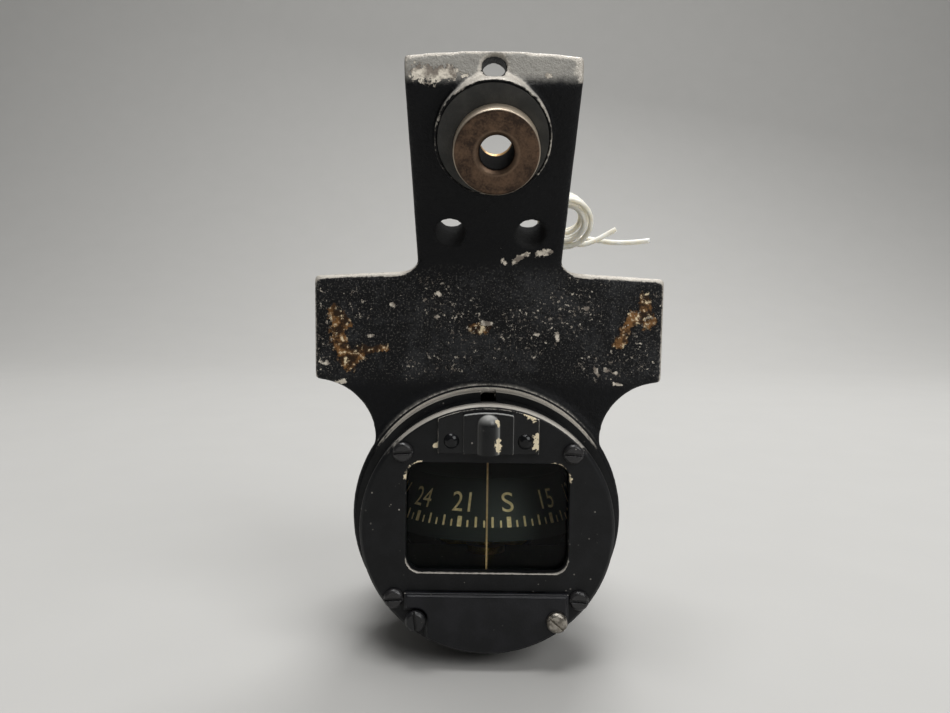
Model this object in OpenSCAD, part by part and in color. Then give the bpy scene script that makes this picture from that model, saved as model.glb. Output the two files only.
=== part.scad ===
// Aircraft compass on a cast mounting bracket: a fluid magnetic compass in a ring, under a hollow
// leaning arm that carries a rubber-mounted bush.
// Millimetres. X points right, Y away from the pilot, Z up. Pieces are drawn about the middle of the
// bezel's front face, then moved so that the origin is the middle of the mounting bush's bore.

/* [Bezel and window] */
// Diameter of the bezel
bezel_d = 64.8; // [63:0.2:67]
// Thickness of the bezel plate
bezel_t = 3; // [2.6:0.1:4]
// Bevel round the bezel's front edge
bezel_bevel = 0.9; // [0.3:0.1:1.5]
// Width of the window
window_w = 41; // [36:0.5:42]
// Height of the window
window_h = 28.4; // [25:0.2:29]
// Height of the window's middle above the case axis
window_z = 3.3; // [2.5:0.1:4]
// Corner radius of the window
window_r = 3.8; // [2:0.1:5]
// Thickness of the window glass
glass_t = 3; // [2:0.1:3.4]
// Thickness of the window gasket
gasket_t = 1; // [0.6:0.1:1.4]
// Width of the lubber line
lubber_w = 0.45; // [0.3:0.05:0.8]
// Diameter of the circle of bezel screws
bezel_screw_circle = 58.6; // [58:0.1:59.4]
// Angle of the upper bezel screws above the horizontal
upper_screw_angle = 43.5; // [40:0.5:47]
// Angle of the lower bezel screws below the horizontal
lower_screw_angle = 36.7; // [34:0.5:38]
// Diameter of the bezel screw heads
bezel_head_d = 5; // [4.4:0.1:5.2]

/* [Case] */
// Distance from the bezel's face to the case flange
flange_y = 8.7; // [8.4:0.1:10]
// Diameter of the case flange
flange_d = 69; // [68.8:0.1:70]
// Thickness of the case flange
flange_t = 3.3; // [2.8:0.1:4]
// Width of the lamp-wire notch in the flange
notch_w = 4; // [3:0.1:5]
// Diameter of the case body
body_d = 62; // [61:0.1:62.2]
// Inside diameter of the bowl
bowl_d = 57; // [56.6:0.1:57.8]
// Length of the case from the bezel's face to its rear rim
case_len = 62; // [61.5:0.5:66]
// Height of the bowl's floor below the case axis
floor_drop = 13.5; // [12.8:0.1:14]
// Thickness of the bowl's floor
floor_t = 2; // [1.4:0.1:2.2]
// Diameter of the rear mouth
mouth_d = 44; // [40:1:46]
// Thickness of the rear gasket
rear_gasket_t = 0.6; // [0.4:0.1:1]
// Thickness of the diaphragm sheet
diaphragm_t = 0.5; // [0.3:0.05:0.8]
// Height of the diaphragm's waves
diaphragm_wave = 1.2; // [0.8:0.1:2]
// Thickness of the rear cover's flange
cover_t = 2; // [1.5:0.1:3]
// Depth of the rear cover's dome
cover_depth = 5; // [4:0.5:8]
// Number of rear cover screws
cover_screws = 6; // [4:1:8]
// Distance of the filler plug behind the bezel's face
filler_y = 46; // [42:0.5:50]

/* [Card] */
// Diameter of the card drum
card_d = 51.4; // [49:0.2:51.4]
// Height of the drum's top above the case axis
card_top = 11; // [9:0.1:11.4]
// Depth of the drum's rim below the case axis
card_low = 5; // [4:0.1:6]
// Thickness of the drum's wall
card_t = 0.8; // [0.6:0.1:1.2]
// How far the drum's top edge leans in from its rim
card_lean = 4.6; // [3:0.1:6]
// Distance of the card's pivot behind the bezel's face
card_y = 34; // [33.6:0.1:35]
// Diameter of the float
float_d = 26; // [22:0.5:30]
// Length of the card magnets
card_magnet_l = 26; // [20:1:32]
// Heading that the card shows under the lubber line
card_heading = 193.5; // [0:0.5:359.5]

/* [Compensator] */
// Depth of the spindles below the case axis
spindle_drop = 20.7; // [20.5:0.1:20.9]
// Radius of the spindles
spindle_r = 1.2; // [1:0.05:1.4]
// Teeth on each compensator gear
gear_teeth = 14; // [12:2:16]
// Gear module
gear_module = 0.45; // [0.4:0.01:0.46]
// Distance of the inner spindles from the middle
mate_x = 4.9; // [4.8:0.1:5.1]
// Thickness of the compensator gears
gear_t = 2.5; // [2:0.1:3]
// Length of the compensator magnets
comp_magnet_l = 6.4; // [5:0.1:6.6]
// Thickness of the compensator frame's plates
plate_t = 2; // [1.5:0.1:2.2]
// Distance between the compensator frame's plates
plate_gap = 16; // [15:0.5:18]
// Half width of the door
door_half = 20.8; // [20.2:0.1:21.2]
// Depth of the door's top edge below the case axis
door_drop = 15.7; // [15.4:0.1:16]
// Thickness of the door
door_t = 2; // [1.5:0.1:3]
// Distance of the door screws from the middle
door_screw_x = 17.8; // [17.4:0.1:18]
// Depth of the door screws below the case axis
door_screw_drop = 22.4; // [22:0.1:22.8]
// Diameter of the door screw heads
door_head_d = 5.2; // [4.8:0.1:5.4]

/* [Lamp] */
// Height of the lamp above the case axis
lamp_z = 24.6; // [24.2:0.1:25]
// Half width of the lamp cover
lamp_cover_half = 12.6; // [12:0.1:13]
// Height of the lamp cover's lower edge
lamp_cover_z = 20; // [19.6:0.1:20.2]
// Thickness of the lamp cover's sheet
lamp_sheet = 0.8; // [0.6:0.05:1]
// Radius of the lamp hood
hood_r = 2.85; // [2.7:0.05:3.2]
// Width of the raised panel under the hood
hood_panel_w = 12.4; // [11:0.1:13]
// Distance of the lamp cover rivets from the middle
rivet_x = 9.2; // [8.6:0.1:9.6]

/* [Bracket] */
// Diameter of the bracket ring
ring_d = 72; // [71:0.2:74]
// Depth of the bracket ring
ring_depth = 14; // [12:0.5:16]
// Half of the span over the wings
wing_half = 46.5; // [44:0.5:48]
// Height of the wings' top edge above the case axis, at the neck
wing_top = 65.6; // [63:0.2:66]
// Drop of the wings' top edge towards the ends
wing_droop = 1.5; // [0.5:0.1:3]
// Distance of the wings' face behind the bezel's face
wing_y = 14; // [13:0.1:15]
// Radius of the scoops under the wings
scoop_r = 16.4; // [15:0.1:16.6]
// Height of the scoops' centres above the case axis
scoop_z = 20; // [18:0.2:20.6]
// Forward lean of the neck
neck_lean = 29; // [26:0.5:31]
// Length of the neck's face along its slope
neck_len = 44.8; // [44:0.2:47]
// Height where the neck's face leaves the wings' face
neck_z = 67.9; // [67:0.1:69]
// Width of the neck at its foot
neck_foot_w = 38.2; // [35:0.1:40]
// Width of the neck at its top
neck_top_w = 41.1; // [40:0.1:44]
// Thickness of the neck from its face to its back edges
neck_t = 13.5; // [12.5:0.1:15]
// Thickness of the front wall
wall = 3.6; // [3:0.1:4]
// Thickness of the side walls
side_wall = 3.5; // [3:0.1:4]
// Radius of the blend between the neck's face and the wings' face
neck_blend = 16; // [10:1:20]
// Radius of the corner between the neck and the wings
neck_fillet = 3.2; // [2:0.1:5]
// Rounding of the front edges
edge_r = 1.6; // [1:0.1:2]
// Height of the top lip along its face
lip_h = 8.5; // [8.4:0.1:9]
// Backward lean of the top lip
lip_lean = 10; // [8:0.5:14]
// Thickness of the top lip
lip_t = 5; // [4:0.1:5.5]
// Crown of the lip's top edge
lip_crown = 1.2; // [0.5:0.1:2]

/* [Mounting holes] */
// Diameter of the hole in the top lip
top_hole_d = 5.5; // [5:0.1:5.6]
// Height of the top hole above the ridge, along the lip
top_hole_h = 4.8; // [4.6:0.1:5]
// Diameter of the two holes at the neck's foot
foot_hole_d = 7.6; // [6:0.1:7.8]
// Distance between the two foot holes
foot_hole_gap = 20.8; // [20:0.1:21.2]
// Distance of the foot holes up the slope
foot_hole_s = 8.2; // [8.1:0.1:10]
// Wall round the foot holes
foot_boss_wall = 2.2; // [1.5:0.1:2.5]
// Diameter of the boss that holds the bush
boss_d = 27.8; // [27.2:0.1:28.4]
// Height of the boss above the neck's face
boss_h = 3.5; // [3:0.1:4]
// Distance of the boss's middle below the ridge
boss_drop = 11.6; // [11.2:0.1:12.4]
// Wall of the boss round the rubber
boss_wall = 0.8; // [0.6:0.1:1.2]
// Diameter of the bush
bush_d = 20.3; // [19.6:0.1:20.8]
// Bore of the bush
bush_bore_d = 8; // [7.6:0.1:8.6]
// Length of the bush
bush_len = 12.4; // [11.5:0.1:13]
// Distance that the bush stands out of the boss
bush_out = 4.3; // [3.8:0.1:4.8]
// Sag of the bush in its rubber, down the slope
bush_sag = 1.7; // [0.5:0.1:1.8]
// Sideways drift of the bush in its rubber
bush_drift = 0.8; // [0:0.1:1]
// Depth of the countersink in the bush
bush_sink = 1; // [0.5:0.1:1.5]

/* [Lamp wires] */
// Diameter of the lamp wires
wire_d = 1.45; // [1.3:0.05:1.5]
// Steps between neighbouring turns of the coils
wire_step = 1.9; // [1.86:0.02:2]
// Radius of the front coil's first turn
front_coil_r = 7.5; // [7:0.1:8]
// Radius of the rear coil's first turn
rear_coil_r = 6.9; // [6.6:0.1:7.4]

/* [Hidden] */
$fn = 64;

// Clearances: a close seat, a hole for a screw, a running fit, and the overrun of a cut.
seat = 0.1;
hole_fit = 0.1;
running_fit = 0.06;
over = 0.5;
far = 100;

// Colours
black_paint = [0.07, 0.07, 0.08];
rubber_grey = [0.16, 0.16, 0.16];
bronze = [0.42, 0.30, 0.19];
brass = [0.72, 0.58, 0.30];
steel = [0.62, 0.62, 0.62];
magnet_grey = [0.35, 0.36, 0.38];
wire_white = [0.88, 0.86, 0.80];

// Front of the case, from the bezel's face backwards
bezel_r = bezel_d / 2;
glass_back = bezel_t + glass_t;
recess_back = glass_back + gasket_t;
body_r = body_d / 2;
bowl_r = bowl_d / 2;
flange_r = flange_d / 2;
flange_back = flange_y + flange_t;
window_rim = 0.8;
gasket_rim = 1.2;
glass_lip = 0.7;
glass_corner = [window_w / 2 - window_r, window_z + window_h / 2 - window_r];
glass_r = norm(glass_corner) + window_r + gasket_rim + glass_lip;
glass_top = window_z + window_h / 2 + gasket_rim + 1.1;
glass_low = -floor_drop - 0.4;
lubber_t = 0.3;
screw_r = 1.4;
small_screw_r = 1.2;
bezel_screw_l = 5.5;
glass_relief = 0.45;
bezel_screw_places = [
    for (side = [-1, 1], a = [upper_screw_angle, -lower_screw_angle])
        bezel_screw_circle / 2 * [side * cos(a), sin(a)]
];
door_tap = 3;

// Lamp
lamp_pocket_r = 3.2;
socket_back = flange_y - 0.8;
socket_wall = 0.5;
bulb_r = 1.8;
rivet_r = 1;
rivet_head_r = 2;
groove_z = bowl_r + 1.1;
slot_y = bezel_t + 2.4;
hood_y = -1;
panel_h = 1.7;
cover_margin = 1;

// Compensator
spindle_z = -spindle_drop;
gear_r = gear_teeth * gear_module / 2;
gear_backlash = 0.14;
spindle_gap = 2 * gear_r + 0.06;
drive_x = mate_x + spindle_gap;
gear_tip = gear_r + 0.9 * gear_module;
gear_root = gear_r - 1.15 * gear_module;
gear_pressure = 25;
port_half = drive_x + gear_tip + 0.3;
port_r = bowl_r - 1;
chamber_top = -floor_drop - floor_t;
plate_front = flange_y + 0.3;
plate_back = plate_front + plate_t;
rear_plate = plate_back + plate_gap;
chamber_rear = rear_plate + plate_t;
block_t = 12;
block_rear = chamber_rear + block_t;
frame_low = spindle_z - gear_tip - 0.7;
bar_half = 8;
bar_t = 1;
head_r = 2.4;
head_front = bezel_t + 0.6;
slot_w = 0.7;
frame_screw_r = 0.9;
frame_head_r = 1.7;
frame_head_h = 1.2;
frame_screw_in = 5;
frame_tap = frame_screw_in + 0.5;
magnet_w = 3.4;
magnet_t = 4;
door_r = bezel_r - 0.9;
door_bevel = 0.6;
door_slot_r = door_head_d / 2 - 0.3;
door_head_h = 1.7;
left_slot_turn = 82;
right_slot_turn = 40;

// Card and pivot
card_r = card_d / 2;
card_top_r = card_r - card_lean;
card_knee = -1.2;
web_t = 0.8;
float_low = 1;
hub_z = 6;
hub_r = 5;
needle_r = 0.6;
needle_tip_r = 0.08;
needle_taper = 1.4;
cup_r = 1.6;
cup_top = 1;
cup_h = 3.2;
tip_gap = 0.25;
post_r = 2.4;
post_base_r = 5.5;
post_base_t = 2;

// Rear
mouth_r = mouth_d / 2;
mouth_l = 4;
rim_margin = 0.4;
cover_screw_r = (mouth_r + body_r) / 2 - 0.6;
small_head_r = 2.1;
head_h = 1.5;
cover_tap = 3;
cover_front = case_len + rear_gasket_t + diaphragm_t;
filler_r = 2.5;
filler_head_r = 4;
filler_flat = body_r - 0.5;
washer_t = 0.6;

// Bracket: the neck's face runs from the corner on the wings' face up to the ridge below the lip.
ring_r = ring_d / 2;
ring_front = flange_back;
ring_back = ring_front + ring_depth;
ring_bore_r = body_r + 0.3;
mount_screw_circle_r = flange_r - small_screw_r - 0.2;
mount_head_r = mount_screw_circle_r - body_r - 0.2;
mount_slot_turn = 20;
slope = [-sin(neck_lean), cos(neck_lean)];
inward = [cos(neck_lean), sin(neck_lean)];
lip_up = [sin(lip_lean), cos(lip_lean)];
lip_in = [cos(lip_lean), -sin(lip_lean)];
corner = [wing_y, neck_z];
ridge = corner + neck_len * slope;
lip_top = ridge + lip_h * lip_up;
bend = neck_lean + lip_lean;
inner_ridge = ridge + wall * inward + (wall * cos(bend) - lip_t) / sin(bend) * slope;
shoulder = corner + (neck_len - 2) * slope + neck_t * inward;
back_corner = corner + neck_t * inward - (wing_y + neck_t * inward[0] - ring_back) / slope[0] * slope;
neck_rate = (neck_top_w - neck_foot_w) / 2 / (neck_len * slope[1]);
crown_r = neck_top_w * neck_top_w / 8 / lip_crown;
pad_r = ring_r + 2;
blend_run = neck_blend * tan(neck_lean / 2);

// Mounting bush, in a rubber that seats against a shoulder in the boss, and the spot face round the lip's hole
boss_s = neck_len - boss_drop;
rubber_r = boss_d / 2 - boss_wall;
rubber_inset = 0.15;
rubber_back = 1.2;
bush_room = 0.8;
spot_r = top_hole_d / 2 + 0.75;
spot_depth = 0.3;
bush_r = bush_d / 2;
bush_front = boss_h + bush_out;
bush_s = boss_s - bush_sag;
bore_mid = (bush_front - bush_sink + bush_front - bush_len) / 2;
bush_mid = corner + bush_s * slope - bore_mid * inward;
origin = [bush_drift, bush_mid[0], bush_mid[1]];

// Lamp wires: the leads' and tails' points are chosen by hand, the coils follow a rule.
wire_r = wire_d / 2;
coil_x = 21;
coil_s = 5.2;
coil_gap = 0.55;
front_layer = neck_t + coil_gap + wire_r;
rear_layer = front_layer + 2 * wire_step;
loop_rings = 24;
wire_turns = 1.5;
lead_sides = 8;
coil_sides = 6;
exit_x = 0.95;
exit_z = 32.6;
grommet_back = ring_back + 1.2;
function on_coil(x, s, depth) = concat([x], corner + s * slope + depth * inward);
feed_start = on_coil(coil_x, coil_s - front_coil_r, front_layer);
feed_end = on_coil(coil_x, coil_s - front_coil_r, front_layer + wire_step);
ground_start = on_coil(coil_x, coil_s - rear_coil_r, rear_layer);
ground_end = on_coil(coil_x, coil_s - rear_coil_r, rear_layer + wire_step);
lead_in = [3, 0, 0];
feed_lead = [
    [exit_x, grommet_back, exit_z], [exit_x, 30, exit_z], [1, 33, 33.6], [1.2, 34.6, 36.5], [1.5, 34.8, 41],
    [2, 34, 47], [3, 32.5, 53], [4.5, 31, 59], [6.8, 29.9, 64.5], [10, 29.2, 69], [14, 28.9, 71.2],
    feed_start - lead_in, feed_start
];
ground_lead = [
    [-exit_x, grommet_back, exit_z], [-exit_x, 30, exit_z], [-1, 33.2, 33.6], [-1, 35.2, 36.8],
    [-0.8, 36, 41.5], [0, 36, 47.5], [1.2, 35.3, 54], [3, 34.4, 60.5], [5.6, 33.4, 66.3], [9.2, 32.5, 71],
    [13.5, 32, 73.4], ground_start - lead_in, ground_start
];
feed_tail = [feed_end, feed_end + lead_in, [27.5, 30, 74.2], [31, 30, 75.6], [36, 30, 78.4]];
ground_tail = [ground_end, ground_end + lead_in, [29, 33.2, 75.8], [35, 33.4, 75], [41, 33.4, 75], [46.4, 33.2, 75.6]];

// A cylinder along Y between two depths
module y_rod(r, y0, y1) translate([0, y0, 0]) rotate([-90, 0, 0]) cylinder(r = r, h = y1 - y0);

// A flat outline in X and Z, given depth along Y
module y_slab(y0, y1) translate([0, y1, 0]) rotate([90, 0, 0]) linear_extrude(y1 - y0) children();

// A bar that fills a range of heights, to cut or keep
module z_band(z0, z1) translate([-far, -far, z0]) cube([2 * far, 2 * far, z1 - z0]);

module mirrored() {
    children();
    mirror([1, 0, 0]) children();
}

module rounded_rect(w, h, r) {
    square([w - 2 * r, h], center = true);
    square([w, h - 2 * r], center = true);
    for (x = [-1, 1], z = [-1, 1]) translate([x * (w / 2 - r), z * (h / 2 - r)]) circle(r);
}

// A slotted screw along Y with a domed head in front of its seat, and its shank behind
module slotted_screw(head, shank, length, turn, height = head_h) {
    dome = (head * head + height * height) / (2 * height);
    difference() {
        intersection() {
            y_rod(head, -height, 0);
            translate([0, dome - height * 1.25, 0]) sphere(dome * 1.1, $fn = 48);
        }
        rotate([0, turn, 0]) translate([-head - over, -height - over, -slot_w / 2])
            cube([2 * head + 2 * over, height * 0.5 + over, slot_w]);
    }
    y_rod(shank, 0, length);
}

// Places in the bezel and the case
module at_bezel_screws() {
    for (place = bezel_screw_places)
        translate([place[0], 0, place[1]]) mirror([place[0] < 0 ? 1 : 0, 0, 0]) children();
}

module at_mount_screws() {
    for (a = [35, 145, 215, 325])
        translate([mount_screw_circle_r * cos(a), 0, mount_screw_circle_r * sin(a)]) children();
}

module at_cover_screws() {
    for (i = [0 : cover_screws - 1])
        rotate([0, (i + 0.5) * 360 / cover_screws, 0]) translate([0, 0, cover_screw_r]) children();
}

module window_outline(rim) {
    translate([0, window_z]) rounded_rect(window_w + 2 * rim, window_h + 2 * rim, window_r + rim);
}

module glass_outline(gap) {
    difference() {
        intersection() {
            circle(glass_r + gap);
            translate([-far, glass_low - gap]) square([2 * far, glass_top - glass_low + 2 * gap]);
        }
        for (place = bezel_screw_places) translate(place) circle(screw_r + glass_relief - gap);
    }
}

module port_outline(gap) {
    intersection() {
        circle(port_r + gap);
        translate([-port_half - gap, frame_low - gap])
            square([2 * (port_half + gap), chamber_top - frame_low + gap - 0.4]);
    }
}

module wire_channel() {
    translate([-notch_w / 2, slot_y, lamp_z]) cube([notch_w, flange_y - slot_y, far]);
    translate([-notch_w / 2, flange_y - over, groove_z]) cube([notch_w, ring_back + 3 - flange_y, far]);
}

module bezel() color(black_paint) {
    difference() {
        union() {
            y_rod(bezel_r, bezel_bevel, bezel_t);
            translate([0, bezel_bevel, 0]) rotate([90, 0, 0])
                cylinder(r1 = bezel_r, r2 = bezel_r - bezel_bevel, h = bezel_bevel);
        }
        y_slab(-over, bezel_t + over) window_outline(0);
        y_slab(-over, bezel_t + over) port_outline(-0.3);
        at_bezel_screws() y_rod(screw_r + hole_fit, -over, bezel_t + over);
        for (x = [-1, 1])
            translate([x * door_screw_x, 0, -door_screw_drop]) y_rod(screw_r + hole_fit, -over, bezel_t + over);
        translate([0, 0, lamp_z]) y_rod(lamp_pocket_r, -over, bezel_t + over);
        translate([-bulb_r, bezel_t / 2, window_z]) cube([2 * bulb_r, bezel_t, lamp_z - window_z]);
        for (x = [-1, 1])
            translate([x * rivet_x, 0, lamp_cover_z + 3.2]) y_rod(rivet_r + hole_fit / 4, -over, bezel_t + over);
    }
}

module bezel_screws() color(black_paint)
    at_bezel_screws() slotted_screw(bezel_head_d / 2, screw_r, bezel_t + bezel_screw_l - over, 4);

module window_glass() color([0.75, 0.8, 0.8, 0.4])
    y_slab(bezel_t, glass_back) glass_outline(0);

module window_gasket() color(rubber_grey)
    y_slab(glass_back, recess_back) difference() {
        glass_outline(0);
        window_outline(gasket_rim);
    }

module lubber_line() color([0.8, 0.6, 0.4])
    translate([-lubber_w / 2, glass_back, window_z - window_h / 2 - gasket_rim + seat])
        cube([lubber_w, lubber_t, window_h + 2 * gasket_rim - 2 * seat]);

module case() color(black_paint) {
    difference() {
        union() {
            y_rod(bezel_r, bezel_t, flange_y);
            y_rod(flange_r, flange_y, flange_back);
            y_rod(body_r, flange_back, case_len);
        }
        y_slab(bezel_t - over, recess_back) glass_outline(seat);
        y_slab(bezel_t, flange_y + over) window_outline(window_rim);
        intersection() {
            y_rod(bowl_r, flange_y, case_len - mouth_l);
            z_band(-floor_drop, far);
        }
        y_rod(bowl_r, block_rear, case_len - mouth_l);
        y_rod(mouth_r, case_len - mouth_l - over, case_len + over);
        y_slab(bezel_t - over, flange_y + over) port_outline(0);
        intersection() {
            y_rod(bowl_r, flange_y, chamber_rear);
            z_band(-far, chamber_top);
        }
        translate([0, 0, lamp_z]) y_rod(lamp_pocket_r, bezel_t - over, socket_back);
        wire_channel();
        at_bezel_screws() y_rod(screw_r + hole_fit, bezel_t - over, bezel_t + bezel_screw_l);
        for (x = [-1, 1])
            translate([x * door_screw_x, 0, -door_screw_drop])
                y_rod(screw_r + hole_fit, bezel_t - over, bezel_t + door_tap);
        at_mount_screws() y_rod(small_screw_r + hole_fit, flange_y + 0.8, flange_back + over);
        at_cover_screws() y_rod(small_screw_r + hole_fit, case_len - cover_tap, case_len + over);
        translate([0, 0, spindle_z]) y_rod(frame_screw_r + hole_fit / 2, chamber_rear - over, chamber_rear + frame_tap);
        translate([0, filler_y, filler_flat]) cylinder(r = filler_head_r + 1, h = far);
        translate([0, filler_y, 0]) cylinder(r = filler_r + hole_fit, h = far);
    }
}

module case_mount_screws() color(steel)
    at_mount_screws() translate([0, ring_back, 0]) mirror([0, 1, 0])
        slotted_screw(mount_head_r, small_screw_r, ring_back - flange_y - 1, mount_slot_turn);

module lamp_cover_blank(gap) {
    intersection() {
        translate([-lamp_cover_half + gap, lamp_cover_z]) square([2 * (lamp_cover_half - gap), far]);
        circle(bezel_r - cover_margin - gap);
    }
}

module hood_form(r, top) {
    translate([0, hood_y, lamp_cover_z]) cylinder(r = r, h = top - lamp_cover_z);
    translate([0, hood_y, top]) sphere(r);
}

module lamp_cover() color(black_paint) {
    hood_top = bezel_r - cover_margin - 1.4 - hood_r;
    difference() {
        union() {
            y_slab(-lamp_sheet, 0) lamp_cover_blank(0);
            y_slab(-panel_h, 0) intersection() {
                lamp_cover_blank(1);
                square([hood_panel_w, far], center = true);
            }
            intersection() {
                hood_form(hood_r, hood_top);
                translate([-far, -far, lamp_cover_z]) cube([2 * far, far, far]);
            }
        }
        hood_form(hood_r - 0.6, hood_top);
        translate([0, 0, lamp_cover_z - hood_r]) hood_form(hood_r - 0.6, lamp_cover_z + hood_r);
        for (x = [-1, 1])
            translate([x * rivet_x, 0, lamp_cover_z + 3.2]) y_rod(rivet_r + hole_fit / 4, -far, over);
    }
}

module lamp_cover_rivets() color(black_paint)
    for (x = [-1, 1])
        translate([x * rivet_x, -lamp_sheet, lamp_cover_z + 3.2]) {
            intersection() {
                y_rod(rivet_head_r, -rivet_r, 0);
                translate([0, 1.2, 0]) sphere(rivet_head_r * 1.15, $fn = 48);
            }
            y_rod(rivet_r, 0, lamp_sheet + bezel_t - 0.2);
        }

module lamp_socket() color(brass)
    translate([0, 0, lamp_z]) difference() {
        y_rod(lamp_pocket_r - seat, bezel_t / 2, socket_back - seat);
        y_rod(lamp_pocket_r - seat - socket_wall, 0, socket_back - 1);
    }

module lamp_bulb() color([0.85, 0.83, 0.75])
    translate([0, 0, lamp_z]) {
        y_rod(bulb_r, -hood_r / 4, bezel_t);
        translate([0, -hood_r / 4, 0]) sphere(bulb_r);
        y_rod(lamp_pocket_r - 2 * seat - socket_wall, bezel_t, socket_back - 1);
    }

module door_outline(gap) {
    difference() {
        intersection() {
            circle(door_r - gap);
            translate([-door_half + gap, -far - door_drop - gap]) square([2 * (door_half - gap), far]);
        }
        translate([-door_screw_x, -door_screw_drop]) circle(door_slot_r + gap);
        translate([-far - door_screw_x + door_slot_r + gap, -far - door_screw_drop]) square(far);
        translate([-far - door_screw_x, -far - door_screw_drop + door_slot_r + gap]) square(far);
    }
}

module compensator_door() color(black_paint) {
    difference() {
        union() {
            y_slab(-door_t + door_bevel, 0) door_outline(0);
            y_slab(-door_t, 0) door_outline(door_bevel);
        }
        translate([door_screw_x, 0, -door_screw_drop]) y_rod(screw_r + hole_fit, -far, over);
    }
}

module door_screws() color(steel) {
    length = door_t + bezel_t + 2.5;
    for (side = [[-1, left_slot_turn], [1, right_slot_turn]])
        translate([side[0] * door_screw_x, -door_t, -door_screw_drop])
            slotted_screw(door_head_d / 2, screw_r, length, side[1], door_head_h);
}

module compensator_frame() color(brass) {
    difference() {
        union() {
            for (y = [plate_front, rear_plate])
                y_slab(y, y + plate_t) port_outline(-seat);
            translate([-bar_half, plate_front, frame_low + seat])
                cube([2 * bar_half, chamber_rear - plate_front, bar_t - 0.5]);
        }
        for (x = [-drive_x, -mate_x, mate_x, drive_x])
            translate([x, 0, spindle_z]) y_rod(spindle_r + running_fit, 0, far);
        translate([0, 0, spindle_z]) y_rod(frame_screw_r + hole_fit / 2, 0, far);
    }
}

module frame_screw() color(steel)
    translate([0, plate_front, spindle_z])
        slotted_screw(frame_head_r, frame_screw_r, chamber_rear + frame_screw_in - plate_front, 0, frame_head_h);

// One flank of an involute tooth, as polar points from the root to the tip
function flank(r) =
    let (base = gear_r * cos(gear_pressure))
    let (roll = r > base ? sqrt(r * r / base / base - 1) * 180 / PI : 0)
    let (turn = r > base ? roll - acos(base / r) : 0)
    let (at_pitch = tan(gear_pressure) * 180 / PI - gear_pressure)
    90 / gear_teeth - gear_backlash / 2 / gear_r * 90 / PI + at_pitch - turn;

module gear(turn) {
    steps = [for (i = [0 : 4]) gear_root + (gear_tip - gear_root) * i / 4];
    rotate(turn) union() {
        circle(gear_root + 0.02);
        for (i = [0 : gear_teeth - 1])
            rotate(i * 360 / gear_teeth) polygon(concat(
                [[0, 0]],
                [for (r = steps) r * [cos(flank(r)), -sin(flank(r))]],
                [for (k = [4 : -1 : 0]) steps[k] * [cos(flank(steps[k])), sin(flank(steps[k]))]]
            ));
    }
}

module spindle(x, turn, collar_r, collar_front, slotted) {
    translate([x, 0, spindle_z]) difference() {
        union() {
            y_rod(spindle_r, plate_front - over, chamber_rear - 0.3);
            y_rod(collar_r, collar_front, plate_front - 0.3);
            translate([0, plate_back + 0.4, 0]) y_slab(0, gear_t) gear(turn);
        }
        if (slotted)
            translate([-far, head_front - over, -slot_w / 2]) cube([2 * far, 1 + over, slot_w]);
    }
}

module comp_magnet(x, y0) {
    translate([x, y0, spindle_z]) y_slab(0, magnet_t) difference() {
        square([magnet_w, comp_magnet_l], center = true);
        circle(spindle_r + hole_fit / 2);
    }
}

drive_magnet_y = plate_back + gear_t + 1.2;
mate_magnet_y = drive_magnet_y + magnet_t + 1.2;
half_tooth = 180 / gear_teeth;

module north_adjuster() color(brass) spindle(-drive_x, 0, head_r, head_front, true);
module north_adjuster_magnet() color(magnet_grey) comp_magnet(-drive_x, drive_magnet_y);
module north_mate() color(brass) spindle(-mate_x, half_tooth, spindle_r + 0.6, plate_front - 1, false);
module north_mate_magnet() color(magnet_grey) comp_magnet(-mate_x, mate_magnet_y);
module east_adjuster() color(brass) spindle(drive_x, 0, head_r, head_front, true);
module east_adjuster_magnet() color(magnet_grey) comp_magnet(drive_x, drive_magnet_y);
module east_mate() color(brass) spindle(mate_x, half_tooth, spindle_r + 0.6, plate_front - 1, false);
module east_mate_magnet() color(magnet_grey) comp_magnet(mate_x, mate_magnet_y);

module on_card() translate([0, card_y, 0]) rotate(card_heading) children();

module card_drum() color([0.06, 0.07, 0.06])
    on_card() rotate_extrude() polygon([
        [card_r - card_t, -card_low], [card_r, -card_low], [card_r, card_knee], [card_top_r, card_top],
        [0, card_top], [0, card_top - web_t], [card_top_r - card_t, card_top - web_t], [card_r - card_t, card_knee]
    ]);

module card_float() color(brass)
    on_card() difference() {
        translate([0, 0, float_low]) cylinder(d = float_d, h = card_top - web_t - float_low);
        translate([0, 0, float_low - over]) cylinder(r = hub_r, h = hub_z - float_low + over);
    }

module card_magnets() color(magnet_grey)
    on_card() for (x = [-1, 1])
        translate([x * (hub_r + magnet_w), 0, float_low - magnet_w / 2])
            cube([magnet_w, card_magnet_l, magnet_w], center = true);

module pivot_needle() color(steel)
    on_card() {
        translate([0, 0, needle_taper]) cylinder(r = needle_r, h = hub_z - needle_taper);
        cylinder(r1 = needle_tip_r, r2 = needle_r, h = needle_taper);
    }

module pivot_post() color(brass)
    translate([0, card_y, -floor_drop]) difference() {
        union() {
            cylinder(r = post_base_r, h = post_base_t);
            cylinder(r = post_r, h = floor_drop + cup_top - 0.4);
        }
        translate([0, 0, floor_drop + cup_top - cup_h]) cylinder(r = cup_r + hole_fit / 4, h = far);
    }

module jewel_cup() color([0.75, 0.25, 0.3])
    translate([0, card_y, cup_top - cup_h]) difference() {
        cylinder(r = cup_r, h = cup_h);
        translate([0, 0, cup_h - cup_top - tip_gap])
            cylinder(r1 = needle_tip_r + 0.1, r2 = needle_r + 0.5, h = cup_top + tip_gap + 0.01);
    }

module rear_ring_outline() {
    difference() {
        circle(body_r - rim_margin);
        for (i = [0 : cover_screws - 1])
            rotate((i + 0.5) * 360 / cover_screws) translate([0, cover_screw_r]) circle(small_screw_r + hole_fit);
    }
}

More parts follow.
